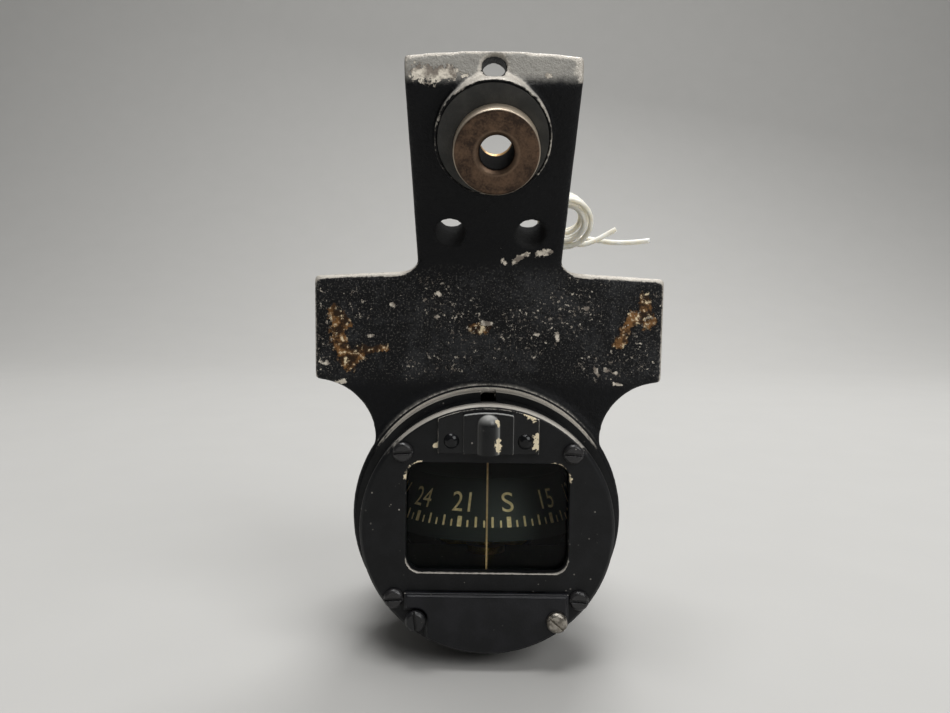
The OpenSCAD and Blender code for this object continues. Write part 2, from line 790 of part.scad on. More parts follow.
module rear_gasket() color(rubber_grey)
    y_slab(case_len, case_len + rear_gasket_t) difference() {
        rear_ring_outline();
        circle(mouth_r);
    }

// The diaphragm's waves are rings of half-round section round a flat clamped rim.
module diaphragm() color(brass)
    translate([0, case_len + rear_gasket_t, 0]) {
        y_slab(0, diaphragm_t) rear_ring_outline();
        for (i = [1 : 3])
            rotate([-90, 0, 0]) rotate_extrude() intersection() {
                translate([i * mouth_r / 4, diaphragm_t / 2]) circle(diaphragm_wave);
                translate([0, diaphragm_t / 2]) square(far);
            }
    }

module rear_cover() color(black_paint) {
    difference() {
        union() {
            y_rod(body_r - rim_margin, cover_front, cover_front + cover_t);
            y_rod(mouth_r, cover_front, cover_front + cover_t + cover_depth - 1);
            translate([0, cover_front + cover_t + cover_depth - 1, 0]) rotate([-90, 0, 0])
                cylinder(r1 = mouth_r, r2 = mouth_r - 1, h = 1);
        }
        y_rod(mouth_r - cover_t, cover_front - over, cover_front + cover_depth);
        y_rod(small_screw_r, 0, far);
        at_cover_screws() y_rod(small_screw_r + hole_fit, 0, far);
    }
}

module rear_cover_screws() color(steel)
    at_cover_screws() translate([0, cover_front + cover_t, 0]) mirror([0, 1, 0])
        slotted_screw(small_head_r, small_screw_r, cover_front + cover_t - case_len + 2.6, 15);

module filler_washer() color(rubber_grey)
    translate([0, filler_y, filler_flat]) difference() {
        cylinder(r = filler_head_r, h = washer_t);
        translate([0, 0, -over]) cylinder(r = filler_r + hole_fit, h = far);
    }

module filler_plug() color(brass)
    translate([0, filler_y, filler_flat + washer_t]) difference() {
        union() {
            cylinder(r = filler_head_r, h = 1.4);
            translate([0, 0, 1.4]) cylinder(r1 = filler_head_r, r2 = filler_head_r - 0.6, h = 0.6);
            translate([0, 0, -washer_t - 2]) cylinder(r = filler_r, h = washer_t + 2);
        }
        translate([-far, -slot_w / 2, 1]) cube([2 * far, slot_w, far]);
    }

// The neck's own frame: X across, Y into the casting from the face, Z up the slope
module on_neck(s) translate([0, corner[0], corner[1]]) rotate([neck_lean, 0, 0]) translate([0, 0, s]) children();

module on_lip(h) translate([0, ridge[0], ridge[1]]) rotate([-lip_lean, 0, 0]) translate([0, 0, h]) children();

function neck_half(z) = neck_foot_w / 2 + (z - neck_z) * neck_rate;

module neck_outline(inset) {
    low = wing_top - 12;
    high = ridge[1] + 2 * lip_h;
    intersection() {
        polygon([
            [-neck_half(low) + inset, low], [neck_half(low) - inset, low],
            [neck_half(high) - inset, high], [-neck_half(high) + inset, high]
        ]);
        translate([0, lip_top[1] - crown_r + (inset > 0 ? far : 0)]) circle(crown_r, $fn = 180);
    }
}

module wing_outline(inset) {
    end = wing_half - inset;
    top = wing_top - inset;
    difference() {
        polygon([
            [-end, scoop_z], [end, scoop_z], [end, top - wing_droop],
            [neck_foot_w / 2, top], [-neck_foot_w / 2, top], [-end, top - wing_droop]
        ]);
        for (x = [-1, 1]) translate([x * wing_half, scoop_z]) circle(scoop_r + inset);
    }
}

module neck_corner() {
    translate([neck_half(wing_top) + neck_fillet, wing_top + neck_fillet]) difference() {
        translate([-neck_fillet - over, -neck_fillet - over]) square(neck_fillet + over);
        circle(neck_fillet);
    }
}

module front_outline() {
    wing_outline(0);
    neck_outline(0);
    neck_corner();
    mirror([1, 0]) neck_corner();
}

// Side view of the casting, in Y and Z, and of the hollow in its back
module side_profile() {
    polygon([[wing_y, 0], corner, ridge, lip_top, lip_top + lip_t * lip_in, shoulder, back_corner, [ring_back, 0]]);
    difference() {
        polygon([corner + [0.2, 0], corner - [-0.2, blend_run], corner - [0, blend_run], corner + blend_run * slope]);
        translate(corner - [neck_blend, blend_run]) circle(neck_blend, $fn = 120);
    }
}

module hollow_profile() {
    polygon([
        [wing_y + wall, 0], corner + wall * [1, tan(neck_lean / 2)], inner_ridge,
        inner_ridge + 3 * lip_h * lip_up, [far, far + neck_z], [far, 0]
    ]);
}

module x_slab(half) rotate([90, 0, 90]) translate([0, 0, -half]) linear_extrude(2 * half) children();

// A cutter that rounds a front edge: the edge runs along +X, with the casting behind it and below it
module round_over(length, r = edge_r) {
    translate([0, 0, -r]) difference() {
        translate([0, -over, 0]) cube([length, r + over, r + over]);
        translate([-over, r, 0]) rotate([0, 90, 0]) cylinder(r = r, h = length + 2 * over, $fn = 40);
    }
}

module front_edges() {
    end_top = wing_top - wing_droop;
    start = neck_half(wing_top) + neck_fillet;
    slant = atan(wing_droop / (wing_half - neck_foot_w / 2));
    mirrored() {
        translate([start, wing_y, wing_top - (start - neck_foot_w / 2) * tan(slant)])
            rotate([0, slant, 0]) round_over(wing_half - start + 1);
        translate([wing_half, wing_y, end_top + 1]) rotate([0, 90, 0]) round_over(end_top - scoop_z - scoop_r + 2);
        on_neck(0) translate([neck_foot_w / 2, 0, -1]) rotate([0, 90 + atan(neck_rate * slope[1]), 0])
            mirror([1, 0, 0]) round_over(neck_len + 1.5);
    }
}

module bracket() color(black_paint) {
    difference() {
        union() {
            difference() {
                intersection() {
                    x_slab(wing_half + 1) side_profile();
                    y_slab(-far / 2, far / 2) front_outline();
                }
                intersection() {
                    x_slab(wing_half + 1) hollow_profile();
                    y_slab(-far / 2, far) difference() {
                        union() {
                            wing_outline(side_wall);
                            neck_outline(side_wall);
                        }
                        circle(ring_r);
                    }
                }
                front_edges();
            }
            y_rod(ring_r - 0.8, ring_front, ring_front + 0.8);
            translate([0, ring_front, 0]) rotate([-90, 0, 0]) cylinder(r1 = ring_r - 0.8, r2 = ring_r, h = 0.8);
            y_rod(ring_r, ring_front + 0.8, ring_back);
            intersection() {
                translate([0, ring_front + 0.8, 0]) rotate([-90, 0, 0])
                    cylinder(r1 = ring_r, r2 = pad_r, h = wing_y - ring_front);
                y_slab(0, wing_y + wall / 2) wing_outline(0);
            }
            on_neck(boss_s) y_rod(boss_d / 2, -boss_h, wall);
            for (x = [-1, 1])
                on_neck(foot_hole_s) translate([x * foot_hole_gap / 2, 0, 0])
                    y_rod(foot_hole_d / 2 + foot_boss_wall, wall / 2, neck_t);
        }
        y_rod(ring_bore_r, 0, far);
        wire_slot_top = ring_r - 2.6;
        translate([-notch_w / 2 - seat, 0, 0]) cube([notch_w + 2 * seat, far, wire_slot_top]);
        at_mount_screws() y_rod(small_screw_r + hole_fit, 0, far);
        on_neck(boss_s) y_rod(rubber_r, -far, rubber_back);
        on_neck(bush_s) translate([bush_drift, 0, 0]) y_rod(bush_r + bush_room, -far, far);
        for (x = [-1, 1])
            on_neck(foot_hole_s) translate([x * foot_hole_gap / 2, 0, 0]) y_rod(foot_hole_d / 2, -far / 2, far / 2);
        on_lip(top_hole_h) y_rod(top_hole_d / 2, -far / 2, far / 2);
        on_lip(top_hole_h) y_rod(spot_r, -far / 2, spot_depth);
    }
}

module bush_rubber() color(rubber_grey)
    difference() {
        on_neck(boss_s) y_rod(rubber_r, -boss_h + rubber_inset, rubber_back);
        on_neck(bush_s) translate([bush_drift, 0, 0]) y_rod(bush_r, -far, far);
    }

module mount_bush() color(bronze)
    on_neck(bush_s) translate([bush_drift, -bush_front, 0]) difference() {
        union() {
            y_rod(bush_r, 0.5, bush_len);
            translate([0, 0.5, 0]) rotate([90, 0, 0]) cylinder(r1 = bush_r, r2 = bush_r - 0.5, h = 0.5);
        }
        y_rod(bush_bore_d / 2, -over, bush_len + over);
        rotate([-90, 0, 0]) translate([0, 0, -over])
            cylinder(r1 = bush_bore_d / 2 + bush_sink + over, r2 = bush_bore_d / 2, h = bush_sink + over);
    }

// A tube swept along points, closed at both ends, with its rings square to the route
function unit(v) = v / norm(v);
function heading(p, i) = unit(p[min(i + 1, len(p) - 1)] - p[max(i - 1, 0)]);
function side_of(d) = unit(cross(d, abs(d[2]) < 0.9 ? [0, 0, 1] : [0, 1, 0]));

module tube(points, r, sides, across) {
    count = len(points);
    rings = [
        for (i = [0 : count - 1])
            let (d = heading(points, i))
            let (a = is_undef(across) ? side_of(d) : unit(across - (across * d) * d))
            let (b = cross(d, a))
            for (k = [0 : sides - 1]) points[i] + r * (cos(k * 360 / sides) * a + sin(k * 360 / sides) * b)
    ];
    walls = [
        for (i = [0 : count - 2], k = [0 : sides - 1])
            let (p = i * sides + k)
            let (q = i * sides + (k + 1) % sides)
            each [[p, p + sides, q], [q, p + sides, q + sides]]
    ];
    ends = [
        for (k = [1 : sides - 2])
            each [[0, k, k + 1], [(count - 1) * sides, (count - 1) * sides + k + 1, (count - 1) * sides + k]]
    ];
    polyhedron(rings, concat(walls, ends), convexity = 8);
}

// A smooth route through chosen points, with rings about two and a half diameters apart
function between(a, b, c, d, t) =
    0.5 * (2 * b + t * (c - a) + t * t * (2 * a - 5 * b + 4 * c - d) + t * t * t * (3 * b - a - 3 * c + d));
function smooth(p) = concat(
    [
        for (i = [0 : len(p) - 2])
            let (first = i == 0 ? 2 * p[0] - p[1] : p[i - 1])
            let (last = i == len(p) - 2 ? 2 * p[i + 1] - p[i] : p[i + 2])
            let (steps = max(1, round(norm(p[i + 1] - p[i]) / (2.5 * wire_d))))
            for (k = [0 : steps - 1]) between(first, p[i], p[i + 1], last, k / steps)
    ],
    [p[len(p) - 1]]
);

// A coil winds in for its turns on one layer, climbs to the next and winds out again. Its two ends run
// straight for a wire's diameter.
function coil_point(r, layer, turn) =
    let (depth_in = min(turn, 2 * wire_turns - turn))
    let (radius = r - wire_step * depth_in)
    let (climb = min(1, max(0, turn - wire_turns + 0.25) * 2))
    on_coil(coil_x + radius * sin(360 * turn), coil_s - radius * cos(360 * turn),
        layer + wire_step * climb * climb * (3 - 2 * climb));
function coil(r, layer) =
    let (last = 2 * wire_turns * loop_rings)
    [for (i = [0 : last]) coil_point(r, layer, i / loop_rings)];
function with_ends(p) = concat([p[0], p[0] + [wire_d, 0, 0]], [for (i = [2 : len(p) - 3]) p[i]],
    [p[len(p) - 1] - [wire_d, 0, 0], p[len(p) - 1]]);

// Least distance between parts of a coil that are at least half a turn apart along it
function least_gap(p) = min([
    for (i = [0 : len(p) - 1 - loop_rings / 2], k = [i + loop_rings / 2 : len(p) - 1]) norm(p[i] - p[k])
]) - wire_d;

coil_axis = concat([0], inward);
feed_coil = with_ends(coil(front_coil_r, front_layer));
ground_coil = with_ends(coil(rear_coil_r, rear_layer));
echo(feed_coil_least_gap = least_gap(feed_coil));
echo(ground_coil_least_gap = least_gap(ground_coil));

module wire_grommet() color(rubber_grey) {
    low = groove_z + seat;
    translate([-notch_w / 2 + seat, ring_back - 5, low]) cube([notch_w - 2 * seat, 5, ring_r - 2.6 - seat - low]);
    y_slab(ring_back, grommet_back) intersection() {
        translate([0, exit_z]) circle(notch_w / 2 + 0.9);
        translate([-far, body_r + seat]) square(2 * far);
    }
}

module feed_wire_lead() color(wire_white) tube(smooth(feed_lead), wire_r, lead_sides);
module feed_wire_coil() color(wire_white) tube(feed_coil, wire_r, coil_sides, coil_axis);
module feed_wire_tail() color(wire_white) tube(smooth(feed_tail), wire_r, lead_sides);
module ground_wire_lead() color(wire_white) tube(smooth(ground_lead), wire_r, lead_sides);
module ground_wire_coil() color(wire_white) tube(ground_coil, wire_r, coil_sides, coil_axis);
module ground_wire_tail() color(wire_white) tube(smooth(ground_tail), wire_r, lead_sides);

module placed() translate(-origin) children();

placed() bracket();
placed() bush_rubber();
placed() mount_bush();
placed() case();
placed() case_mount_screws();
placed() bezel();
placed() bezel_screws();
placed() window_glass();
placed() window_gasket();
placed() lubber_line();
placed() lamp_cover();
placed() lamp_cover_rivets();
placed() lamp_socket();
placed() lamp_bulb();
placed() compensator_door();
placed() door_screws();
placed() compensator_frame();
placed() frame_screw();
placed() north_adjuster();
placed() north_adjuster_magnet();
placed() north_mate();
placed() north_mate_magnet();
placed() east_adjuster();
placed() east_adjuster_magnet();
placed() east_mate();
placed() east_mate_magnet();
placed() card_drum();
placed() card_float();
placed() card_magnets();
placed() pivot_needle();
placed() pivot_post();
placed() jewel_cup();
placed() rear_gasket();
placed() diaphragm();
placed() rear_cover();
placed() rear_cover_screws();
placed() filler_plug();
placed() filler_washer();
placed() wire_grommet();
placed() feed_wire_lead();
placed() feed_wire_coil();
placed() feed_wire_tail();
placed() ground_wire_lead();
placed() ground_wire_coil();
placed() ground_wire_tail();
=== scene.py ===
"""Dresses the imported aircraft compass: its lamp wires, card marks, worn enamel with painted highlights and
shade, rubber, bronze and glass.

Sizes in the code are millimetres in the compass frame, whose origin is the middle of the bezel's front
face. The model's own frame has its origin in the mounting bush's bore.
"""

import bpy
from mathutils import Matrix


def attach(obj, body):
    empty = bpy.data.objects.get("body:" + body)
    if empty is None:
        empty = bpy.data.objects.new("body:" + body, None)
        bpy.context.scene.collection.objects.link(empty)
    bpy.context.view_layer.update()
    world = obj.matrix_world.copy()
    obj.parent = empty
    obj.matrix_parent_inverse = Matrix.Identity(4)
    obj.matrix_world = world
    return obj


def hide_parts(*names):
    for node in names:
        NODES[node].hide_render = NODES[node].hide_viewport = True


bl_info = {
    "name": "Aircraft Compass",
    "version": (1, 0, 0),
    "blender": (4, 5, 0),
    "location": "View3D > Sidebar > Compass",
    "description": "Finishes an aircraft compass on its cast bracket",
    "category": "Object",
}

import math

import bpy
import numpy as np
from mathutils import Matrix, Vector

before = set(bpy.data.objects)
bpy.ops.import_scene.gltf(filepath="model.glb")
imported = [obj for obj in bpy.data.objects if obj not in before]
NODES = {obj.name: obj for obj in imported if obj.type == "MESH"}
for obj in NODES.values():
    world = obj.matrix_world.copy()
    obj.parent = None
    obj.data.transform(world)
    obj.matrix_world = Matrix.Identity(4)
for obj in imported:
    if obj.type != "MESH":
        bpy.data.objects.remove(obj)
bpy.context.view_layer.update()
MM = 0.001
BORE = Vector((0.8, -2.2336, 94.9172))

# How much old enamel and the pane reflect, against new paint
CASTING_SHINE = 0.2
BORE_SHINE = 0.1
OLD_SHINE = 0.3
NEW_SHINE = 0.5
PANE_SHINE = 0.25

# The photo's camera, in the compass frame, and its angles in degrees
CAMERA_AT = (-3.6, -175.5, 59.6)
CAMERA_PITCH = -5.0
CAMERA_ROLL = 0.7
CAMERA_LENS = 27.06
SENSOR_WIDTH = 36

# The lamps: place and aim in the compass frame, width in metres and power in watts
LAMPS = (
    ("overhead", (-100, -100, 2400), (0, 10, 0), 1.2, 40.0),
    ("front_fill", (900, -900, 1000), (0, 0, 30), 0.9, 12.0),
    ("rear_key", (250, 750, 1100), (0, 10, 60), 0.6, 9.0),
)
SURROUND_GREY = 0.08

# The floor's height in the compass frame, and its sizes in metres
FLOOR_Z = -36.05
FLOOR_WIDTH = 8.0
BACKDROP_SHIFT = -2.4
BACKDROP_HEIGHT = 4.0
BACKDROP_BEND = 0.9

# The neck's face: its lower corner in Y and Z and its lean. Places named S are measured up its slope
NECK_CORNER = (14.0, 67.9)
NECK_LEAN = math.radians(29)
BOSS_S = 33.2
BOSS_RIM_R = 13.9
FOOT_HOLE_X = 10.4
FOOT_HOLE_S = 8.2
FOOT_HOLE_R = 3.8
LIP_HOLE_Z = 111.35
LIP_HOLE_R = 2.75

# Depths of the faces that carry marks, and the depth that parts the casting's front from its back
WING_FACE_Y = 14.0
LIP_FACE_Y = -7.0
BEZEL_FACE_Y = 0.2
COVER_FACE_Y = -1.2
HUMP_FACE_Y = -2.4
FRONT_Y = 18.0

# Where use has rubbed the casting, and where painted highlight and sheen lie on its lit tops, right-hand ends
# and up-facing fillets. A pair holds the two places between which each comes in
LIP_RUB_AND_SHEEN_Z = (106.4, 110.0)
LIP_END_X = (17.5, 19.5)
RING_BAND_R = (36.8, 35.1)
RING_BAND_Z = (14, 28)
WING_END_X = (45.1, 46.1)
WING_TOP_DROP = (-1.7, -0.9)
WING_ROOT_X = 22.0
FILLET_X = (15, 28)
FILLET_Z = (60, 76)
RING_FRONT_Y = 16
LIP_FRONT_Y = -2
BOSS_FRONT_Y = 8
BOSS_FOOT_Z = 76
BOSS_SIDE_X = (9, 12)
RUB_WIDTH = 0.6
GROOVE_R = 35.3
GROOVE_EDGE = (0.34, 0.12)
# Heights that bound the wings' face, painted lighter than the neck, which faces down into shade
WING_FOOT_Z = (34.0, 40.0)
WING_HEAD_Z = (69.0, 62.0)

# How far from the boss, the ring, the foot holes and the neck the casting's corners are rounded
CLEAR_BOSS_R = 16.5
CLEAR_RING_R = 39.0
CLEAR_FOOT_S = 14.0
CLEAR_NECK_X = 20.0

# The bush: radii from its axis between which each tone comes in, and depths for the painted brass glint at
# its rear end
BUSH_SIDE_R = (9.75, 10.1)
SINK_OUTER_R = (5.7, 5.2)
SINK_INNER_R = (4.1, 4.7)
BUSH_BORE_R = (4.3, 4.05)
BUSH_GLINT_DEPTH = (3.4, 4.6)

# The turned enamel: spacing of its specks, and the heights and radii between which its rims are rubbed bright
# and carry a painted highlight along the top
SPECK_SPACING = 1.7
RIM_RUB_AND_HIGHLIGHT_Z = (6.0, 32.0)
CASE_RIM_R = (34.1, 34.35)
BEZEL_RIM_R = (31.5, 31.8)

# Spacing of the fine meshes, relief of the casting's sand, and limits for joining points and faces
BEZEL_GRAIN = 0.28 * MM
COVER_GRAIN = 0.16 * MM
DOOR_GRAIN = 0.2 * MM
SCREW_GRAIN = 0.12 * MM
SAND_SIZE = 1.6 * MM
SAND_DEPTH = 0.07 * MM
WELD = 0.002 * MM
FLAT = math.radians(0.5)

# Lamp wires, as the solids have them
WIRE_STEP = 1.9
WIRE_TURNS = 1.5
COIL_X = 21.0
COIL_S = 5.2
FRONT_LAYER = 14.775
REAR_LAYER = 18.575
FRONT_COIL_R = 7.5
REAR_COIL_R = 6.9
RINGS_PER_TURN = 24
ROUTE_STEP = 1.2
LEAD_IN = Vector((3, 0, 0))

# The window in the bezel, its worn sill painted with a highlight along its lower edge, and its pane
WINDOW_W = 41.0
WINDOW_H = 28.4
WINDOW_Z = 3.3
WINDOW_R = 3.8
SILL_EDGE = (-0.2, 0.4)
SILL_Z = (-4.0, -8.0)
SILL_Y = 0.9
GLASS_MIDDLE = 4.5
GLASS_TINT = "#f2f7f3"

# The card: its axis, radius and lean, and the heights and widths of its marks
CARD_Y = 34.0
CARD_R = 25.7
CARD_KNEE = -1.2
CARD_TOP = 11.0
CARD_LEAN = 4.6
MARK_FOOT = -1.2
TALL_MARK = 2.65
SHORT_MARK = 1.75
FIVE_WIDTH = 0.5
TEN_WIDTH = 0.6
THIRTY_WIDTH = 1.2
MARK_CORNER = 0.16
NUMERAL_FOOT = 2.65
NUMERAL_HEIGHT = 4.9
MARK_PROUD = 0.05
LETTER_WIDTH = 1.15
FIGURE_WIDTH = 0.92
NUMERALS = ["N", "3", "6", "E", "12", "15", "S", "21", "24", "W", "30", "33"]

# Dark and light tones of the metals inside
BRASS = ("#7d6230", "#b8954d")
MAGNET_ALLOY = ("#3c3d40", "#5c5d60")


def place(x, y, z):
    """A point of the compass frame in millimetres, as the model's own metres."""
    return (Vector((x, y, z)) - BORE) * MM


def linear(hex_code):
    """An sRGB hex colour as linear red, green, blue and alpha."""
    parts = [int(hex_code[i : i + 2], 16) / 255 for i in (1, 3, 5)]
    return tuple(p / 12.92 if p <= 0.04045 else ((p + 0.055) / 1.055) ** 2.4 for p in parts) + (1.0,)


def colour_property(name, hex_code, description):
    return bpy.props.FloatVectorProperty(
        name=name, description=description, subtype="COLOR", size=4, min=0, max=1, default=linear(hex_code)
    )


def length_property(name, size, description):
    return bpy.props.FloatProperty(
        name=name, description=description, default=size * MM, unit="LENGTH", precision=5
    )


class CompassSizes(bpy.types.PropertyGroup):
    wire_diameter: length_property("Wire diameter", 1.45, "Outside of the lamp wires' insulation")
    card_heading: bpy.props.FloatProperty(
        name="Heading", description="Heading under the lubber line, in degrees", default=193.5,
    )
    casting_grain: length_property("Casting grain", 0.55, "Spacing of the casting's own mesh")
    edge_softness: length_property("Edge softness", 0.18, "Bevel on the small pieces' edges")


class CompassColours(bpy.types.PropertyGroup):
    enamel: colour_property("Enamel", "#07080b", "Black enamel of the bracket")
    # Lighter enamel of the wings' rough face, partly dust and partly painted light against the shaded neck
    dusty_and_lit_enamel: colour_property("Dusty enamel", "#2a2b2d", "Enamel on the wings' rough face")
    # Grey of rubbed enamel, also used as painted sheen on the casting's lit tops
    worn_and_lit_enamel: colour_property("Worn enamel", "#a5a29b", "Rubbed black enamel")
    bare_casting: colour_property("Bare casting", "#d5cfc4", "Light alloy where the enamel is gone")
    chip: colour_property("Chips", "#efe6d6", "Cream primer in the enamel's chips")
    old_glue: colour_property("Old glue", "#8a6238", "Brown glue left on the wings")
    case_enamel: colour_property("Case enamel", "#08090b", "Black enamel of the case and bezel")
    bronze: colour_property("Bronze", "#66503f", "Browned bronze of the bush")
    cream: colour_property("Cream", "#efd5a4", "Aged cream paint of the card's marks")
    card: colour_property("Card", "#0b100e", "Green-black ground of the card")
    insulation: colour_property("Insulation", "#faf7ee", "White insulation of the lamp wires")
    floor: colour_property("Floor", "#b6b5b2", "Pale studio floor")


def sizes():
    return bpy.context.scene.compass_sizes


def colours():
    return bpy.context.scene.compass_colours


def feed(node, inputs):
    """Fills a node's inputs with values, colours by their hex code, or links from sockets."""
    for key, value in inputs.items():
        if isinstance(value, bpy.types.NodeSocket):
            node.id_data.links.new(value, node.inputs[key])
        else:
            node.inputs[key].default_value = linear(value) if isinstance(value, str) else value


def add(tree, kind, inputs=None, **settings):
    """Adds a node, sets its properties and fills its inputs."""
    node = tree.nodes.new(kind)
    for name, value in settings.items():
        setattr(node, name, value)
    feed(node, inputs or {})
    return node


def new_material(name):
    """An empty material with its shader, and its surface coordinates in compass millimetres."""
    material = bpy.data.materials.new(name)
    material.use_nodes = True
    tree = material.node_tree
    tree.nodes.clear()
    shader = add(tree, "ShaderNodeBsdfPrincipled")
    add(tree, "ShaderNodeOutputMaterial", {"Surface": shader.outputs["BSDF"]})
    coords = add(tree, "ShaderNodeTexCoord")
    space = add(tree, "ShaderNodeMapping", {
        "Vector": coords.outputs["Object"], "Location": BORE, "Scale": (1 / MM, 1 / MM, 1 / MM),
    })
    return material, shader, space.outputs["Vector"]


def noise(space, size, detail=4.0, rough=0.55):
    """Cloudy noise whose lumps are about so many millimetres across."""
    inputs = {"Vector": space, "Scale": 1 / size, "Detail": detail, "Roughness": rough}
    return add(space.id_data, "ShaderNodeTexNoise", inputs).outputs["Fac"]


def between(value, low, high):
    """0 below low, 1 above high, and smooth between; low may be the greater."""
    inputs = {"Value": value, "From Min": low, "From Max": high}
    node = add(value.id_data, "ShaderNodeMapRange", inputs, interpolation_type="SMOOTHSTEP")
    return node.outputs["Result"]


def combine(operation, *values):
    """One to three values, one of them at least a socket, joined by a named operation."""
    tree = next(value.id_data for value in values if isinstance(value, bpy.types.NodeSocket))
    return add(tree, "ShaderNodeMath", dict(enumerate(values)), operation=operation).outputs["Value"]


def total(first, *others):
    """The sum of some values."""
    for other in others:
        first = combine("ADD", first, other)
    return first


def scaled(value, factor, offset=0.0):
    """A value times a factor, with an offset added."""
    return combine("MULTIPLY_ADD", value, factor, offset)


def vectors(operation, output, *values):
    """One or two vectors, the first from a socket, joined by a named operation."""
    node = add(values[0].id_data, "ShaderNodeVectorMath", dict(enumerate(values)), operation=operation)
    return node.outputs[output]


def attribute(space, name):
    """A value that the mesh stores."""
    return add(space.id_data, "ShaderNodeAttribute", attribute_name=name).outputs["Fac"]


def coordinate(space, axis):
    """One of the surface's three coordinates."""
    return add(space.id_data, "ShaderNodeSeparateXYZ", {"Vector": space}).outputs[axis]


def blend(mask, under, over):
    """One colour over another by a mask."""
    inputs = {0: mask, 6: under, 7: over}
    return add(mask.id_data, "ShaderNodeMix", inputs, data_type="RGBA").outputs[2]


def ragged(name, cloud, reach, low=0.46, high=0.54):
    """A mask from a stroke attribute of the mesh, 1 inside the strokes, with edges broken up by a noise."""
    shift = scaled(combine("SUBTRACT", cloud, 0.5), reach)
    return between(total(attribute(cloud, name), shift), low, high)


def from_axis(space):
    """Distance from the case's own axis."""
    return vectors("LENGTH", "Value", vectors("MULTIPLY", "Vector", space, (1, 0, 1)))


def bump(shader, height, depth):
    """Relief so many millimetres deep."""
    node = add(shader.id_data, "ShaderNodeBump", {"Height": height, "Distance": depth * MM, "Strength": 1.0})
    feed(shader, {"Normal": node.outputs["Normal"]})


def strokes_at(depth, *rows):
    """Strokes on a face at one depth, from rows of two places in X and Z and a radius."""
    return [((x, depth, z), (end_x, depth, end_z), radius) for x, z, end_x, end_z, radius in rows]


# Marks that use has left on the bracket, the bezel and the lamp cover
GLUE_STROKES = strokes_at(
    WING_FACE_Y,
    (-40.8, 54.2, -38.6, 51.6, 1.9), (-40.0, 50.9, -39.8, 46.4, 2.0), (-38.6, 43.8, -36.9, 40.8, 2.1),
    (-37.6, 41.9, -33.7, 43.9, 1.9), (-33.7, 44.2, -27.2, 45.1, 0.9), (41.0, 59.0, 41.4, 56.4, 1.6),
    (40.9, 54.5, 42.2, 53.2, 2.2), (39.2, 54.5, 37.1, 51.9, 1.5), (36.8, 51.5, 34.7, 46.7, 1.4),
    (-4.4, 50.4, -0.5, 50.9, 1.3),
)
NECK_FLAKES = [
    ((3.5, 13.6, 68.4), (3.9, 13.7, 67.9), 0.6), ((6.3, 13.6, 68.0), (8.1, 12.9, 69.5), 0.65),
    ((8.1, 12.9, 69.5), (9.9, 12.5, 70.1), 0.6), ((12.6, 12.5, 70.2), (15.6, 12.3, 70.9), 0.8),
]
LIP_FLAKES = strokes_at(
    LIP_FACE_Y,
    (-17.4, 109.9, -14.6, 109.4, 1.9), (-14.6, 109.4, -10.0, 110.0, 1.7),
    (-6.8, 109.3, -6.6, 109.3, 0.7), (12.3, 109.6, 12.6, 109.5, 0.7),
)
WING_FLAKES = strokes_at(
    WING_FACE_Y,
    (-40.2, 35.7, -38.2, 36.1, 0.7), (-1.8, 52.0, 0.4, 51.7, 0.6), (-13.5, 59.7, -13.0, 59.2, 0.5),
    (-25.8, 56.7, -25.3, 56.2, 0.5), (-32.1, 48.1, -30.5, 48.3, 0.35), (-14.1, 53.5, -13.4, 53.2, 0.45),
    (25.4, 56.2, 26.0, 56.0, 0.5), (12.4, 49.3, 13.0, 48.9, 0.45), (18.0, 49.4, 18.5, 47.5, 0.5),
    (28.4, 40.1, 29.4, 38.5, 0.5), (31.0, 40.2, 31.8, 39.6, 0.5), (33.3, 39.2, 34.2, 38.9, 0.4),
    (33.7, 36.2, 35.6, 35.9, 0.4), (-45.0, 41.2, -42.7, 40.6, 0.4),
)
SPECK_STROKES = strokes_at(
    WING_FACE_Y,
    (-46, 58, -45, 40, 4), (-36, 58, -33, 54, 3), (-14, 59, -6, 51, 6), (8, 49, 24, 56, 7),
    (40, 50, 45, 56, 5), (28, 40, 41, 43, 4), (-19, 40, -8, 41, 3),
)
WINDOW_CHIPS = strokes_at(
    BEZEL_FACE_Y,
    (-16.9, 17.2, -18.2, 16.4, 0.8), (-18.7, 16.1, -20.1, 13.9, 0.9), (16.1, 17.3, 17.8, 17.0, 0.5),
    (18.2, 16.7, 20.5, 13.5, 0.7), (-13.2, 21.7, -12.5, 22.2, 0.6),
)
COVER_CHIPS = strokes_at(COVER_FACE_Y, (9.8, 30.3, 11.0, 29.3, 1.0), (11.9, 24.3, 11.9, 21.8, 0.9))
HUMP_CHIPS = strokes_at(HUMP_FACE_Y, (2.1, 28.5, 2.4, 27.7, 0.6), (2.3, 23.3, 2.5, 21.6, 1.0))


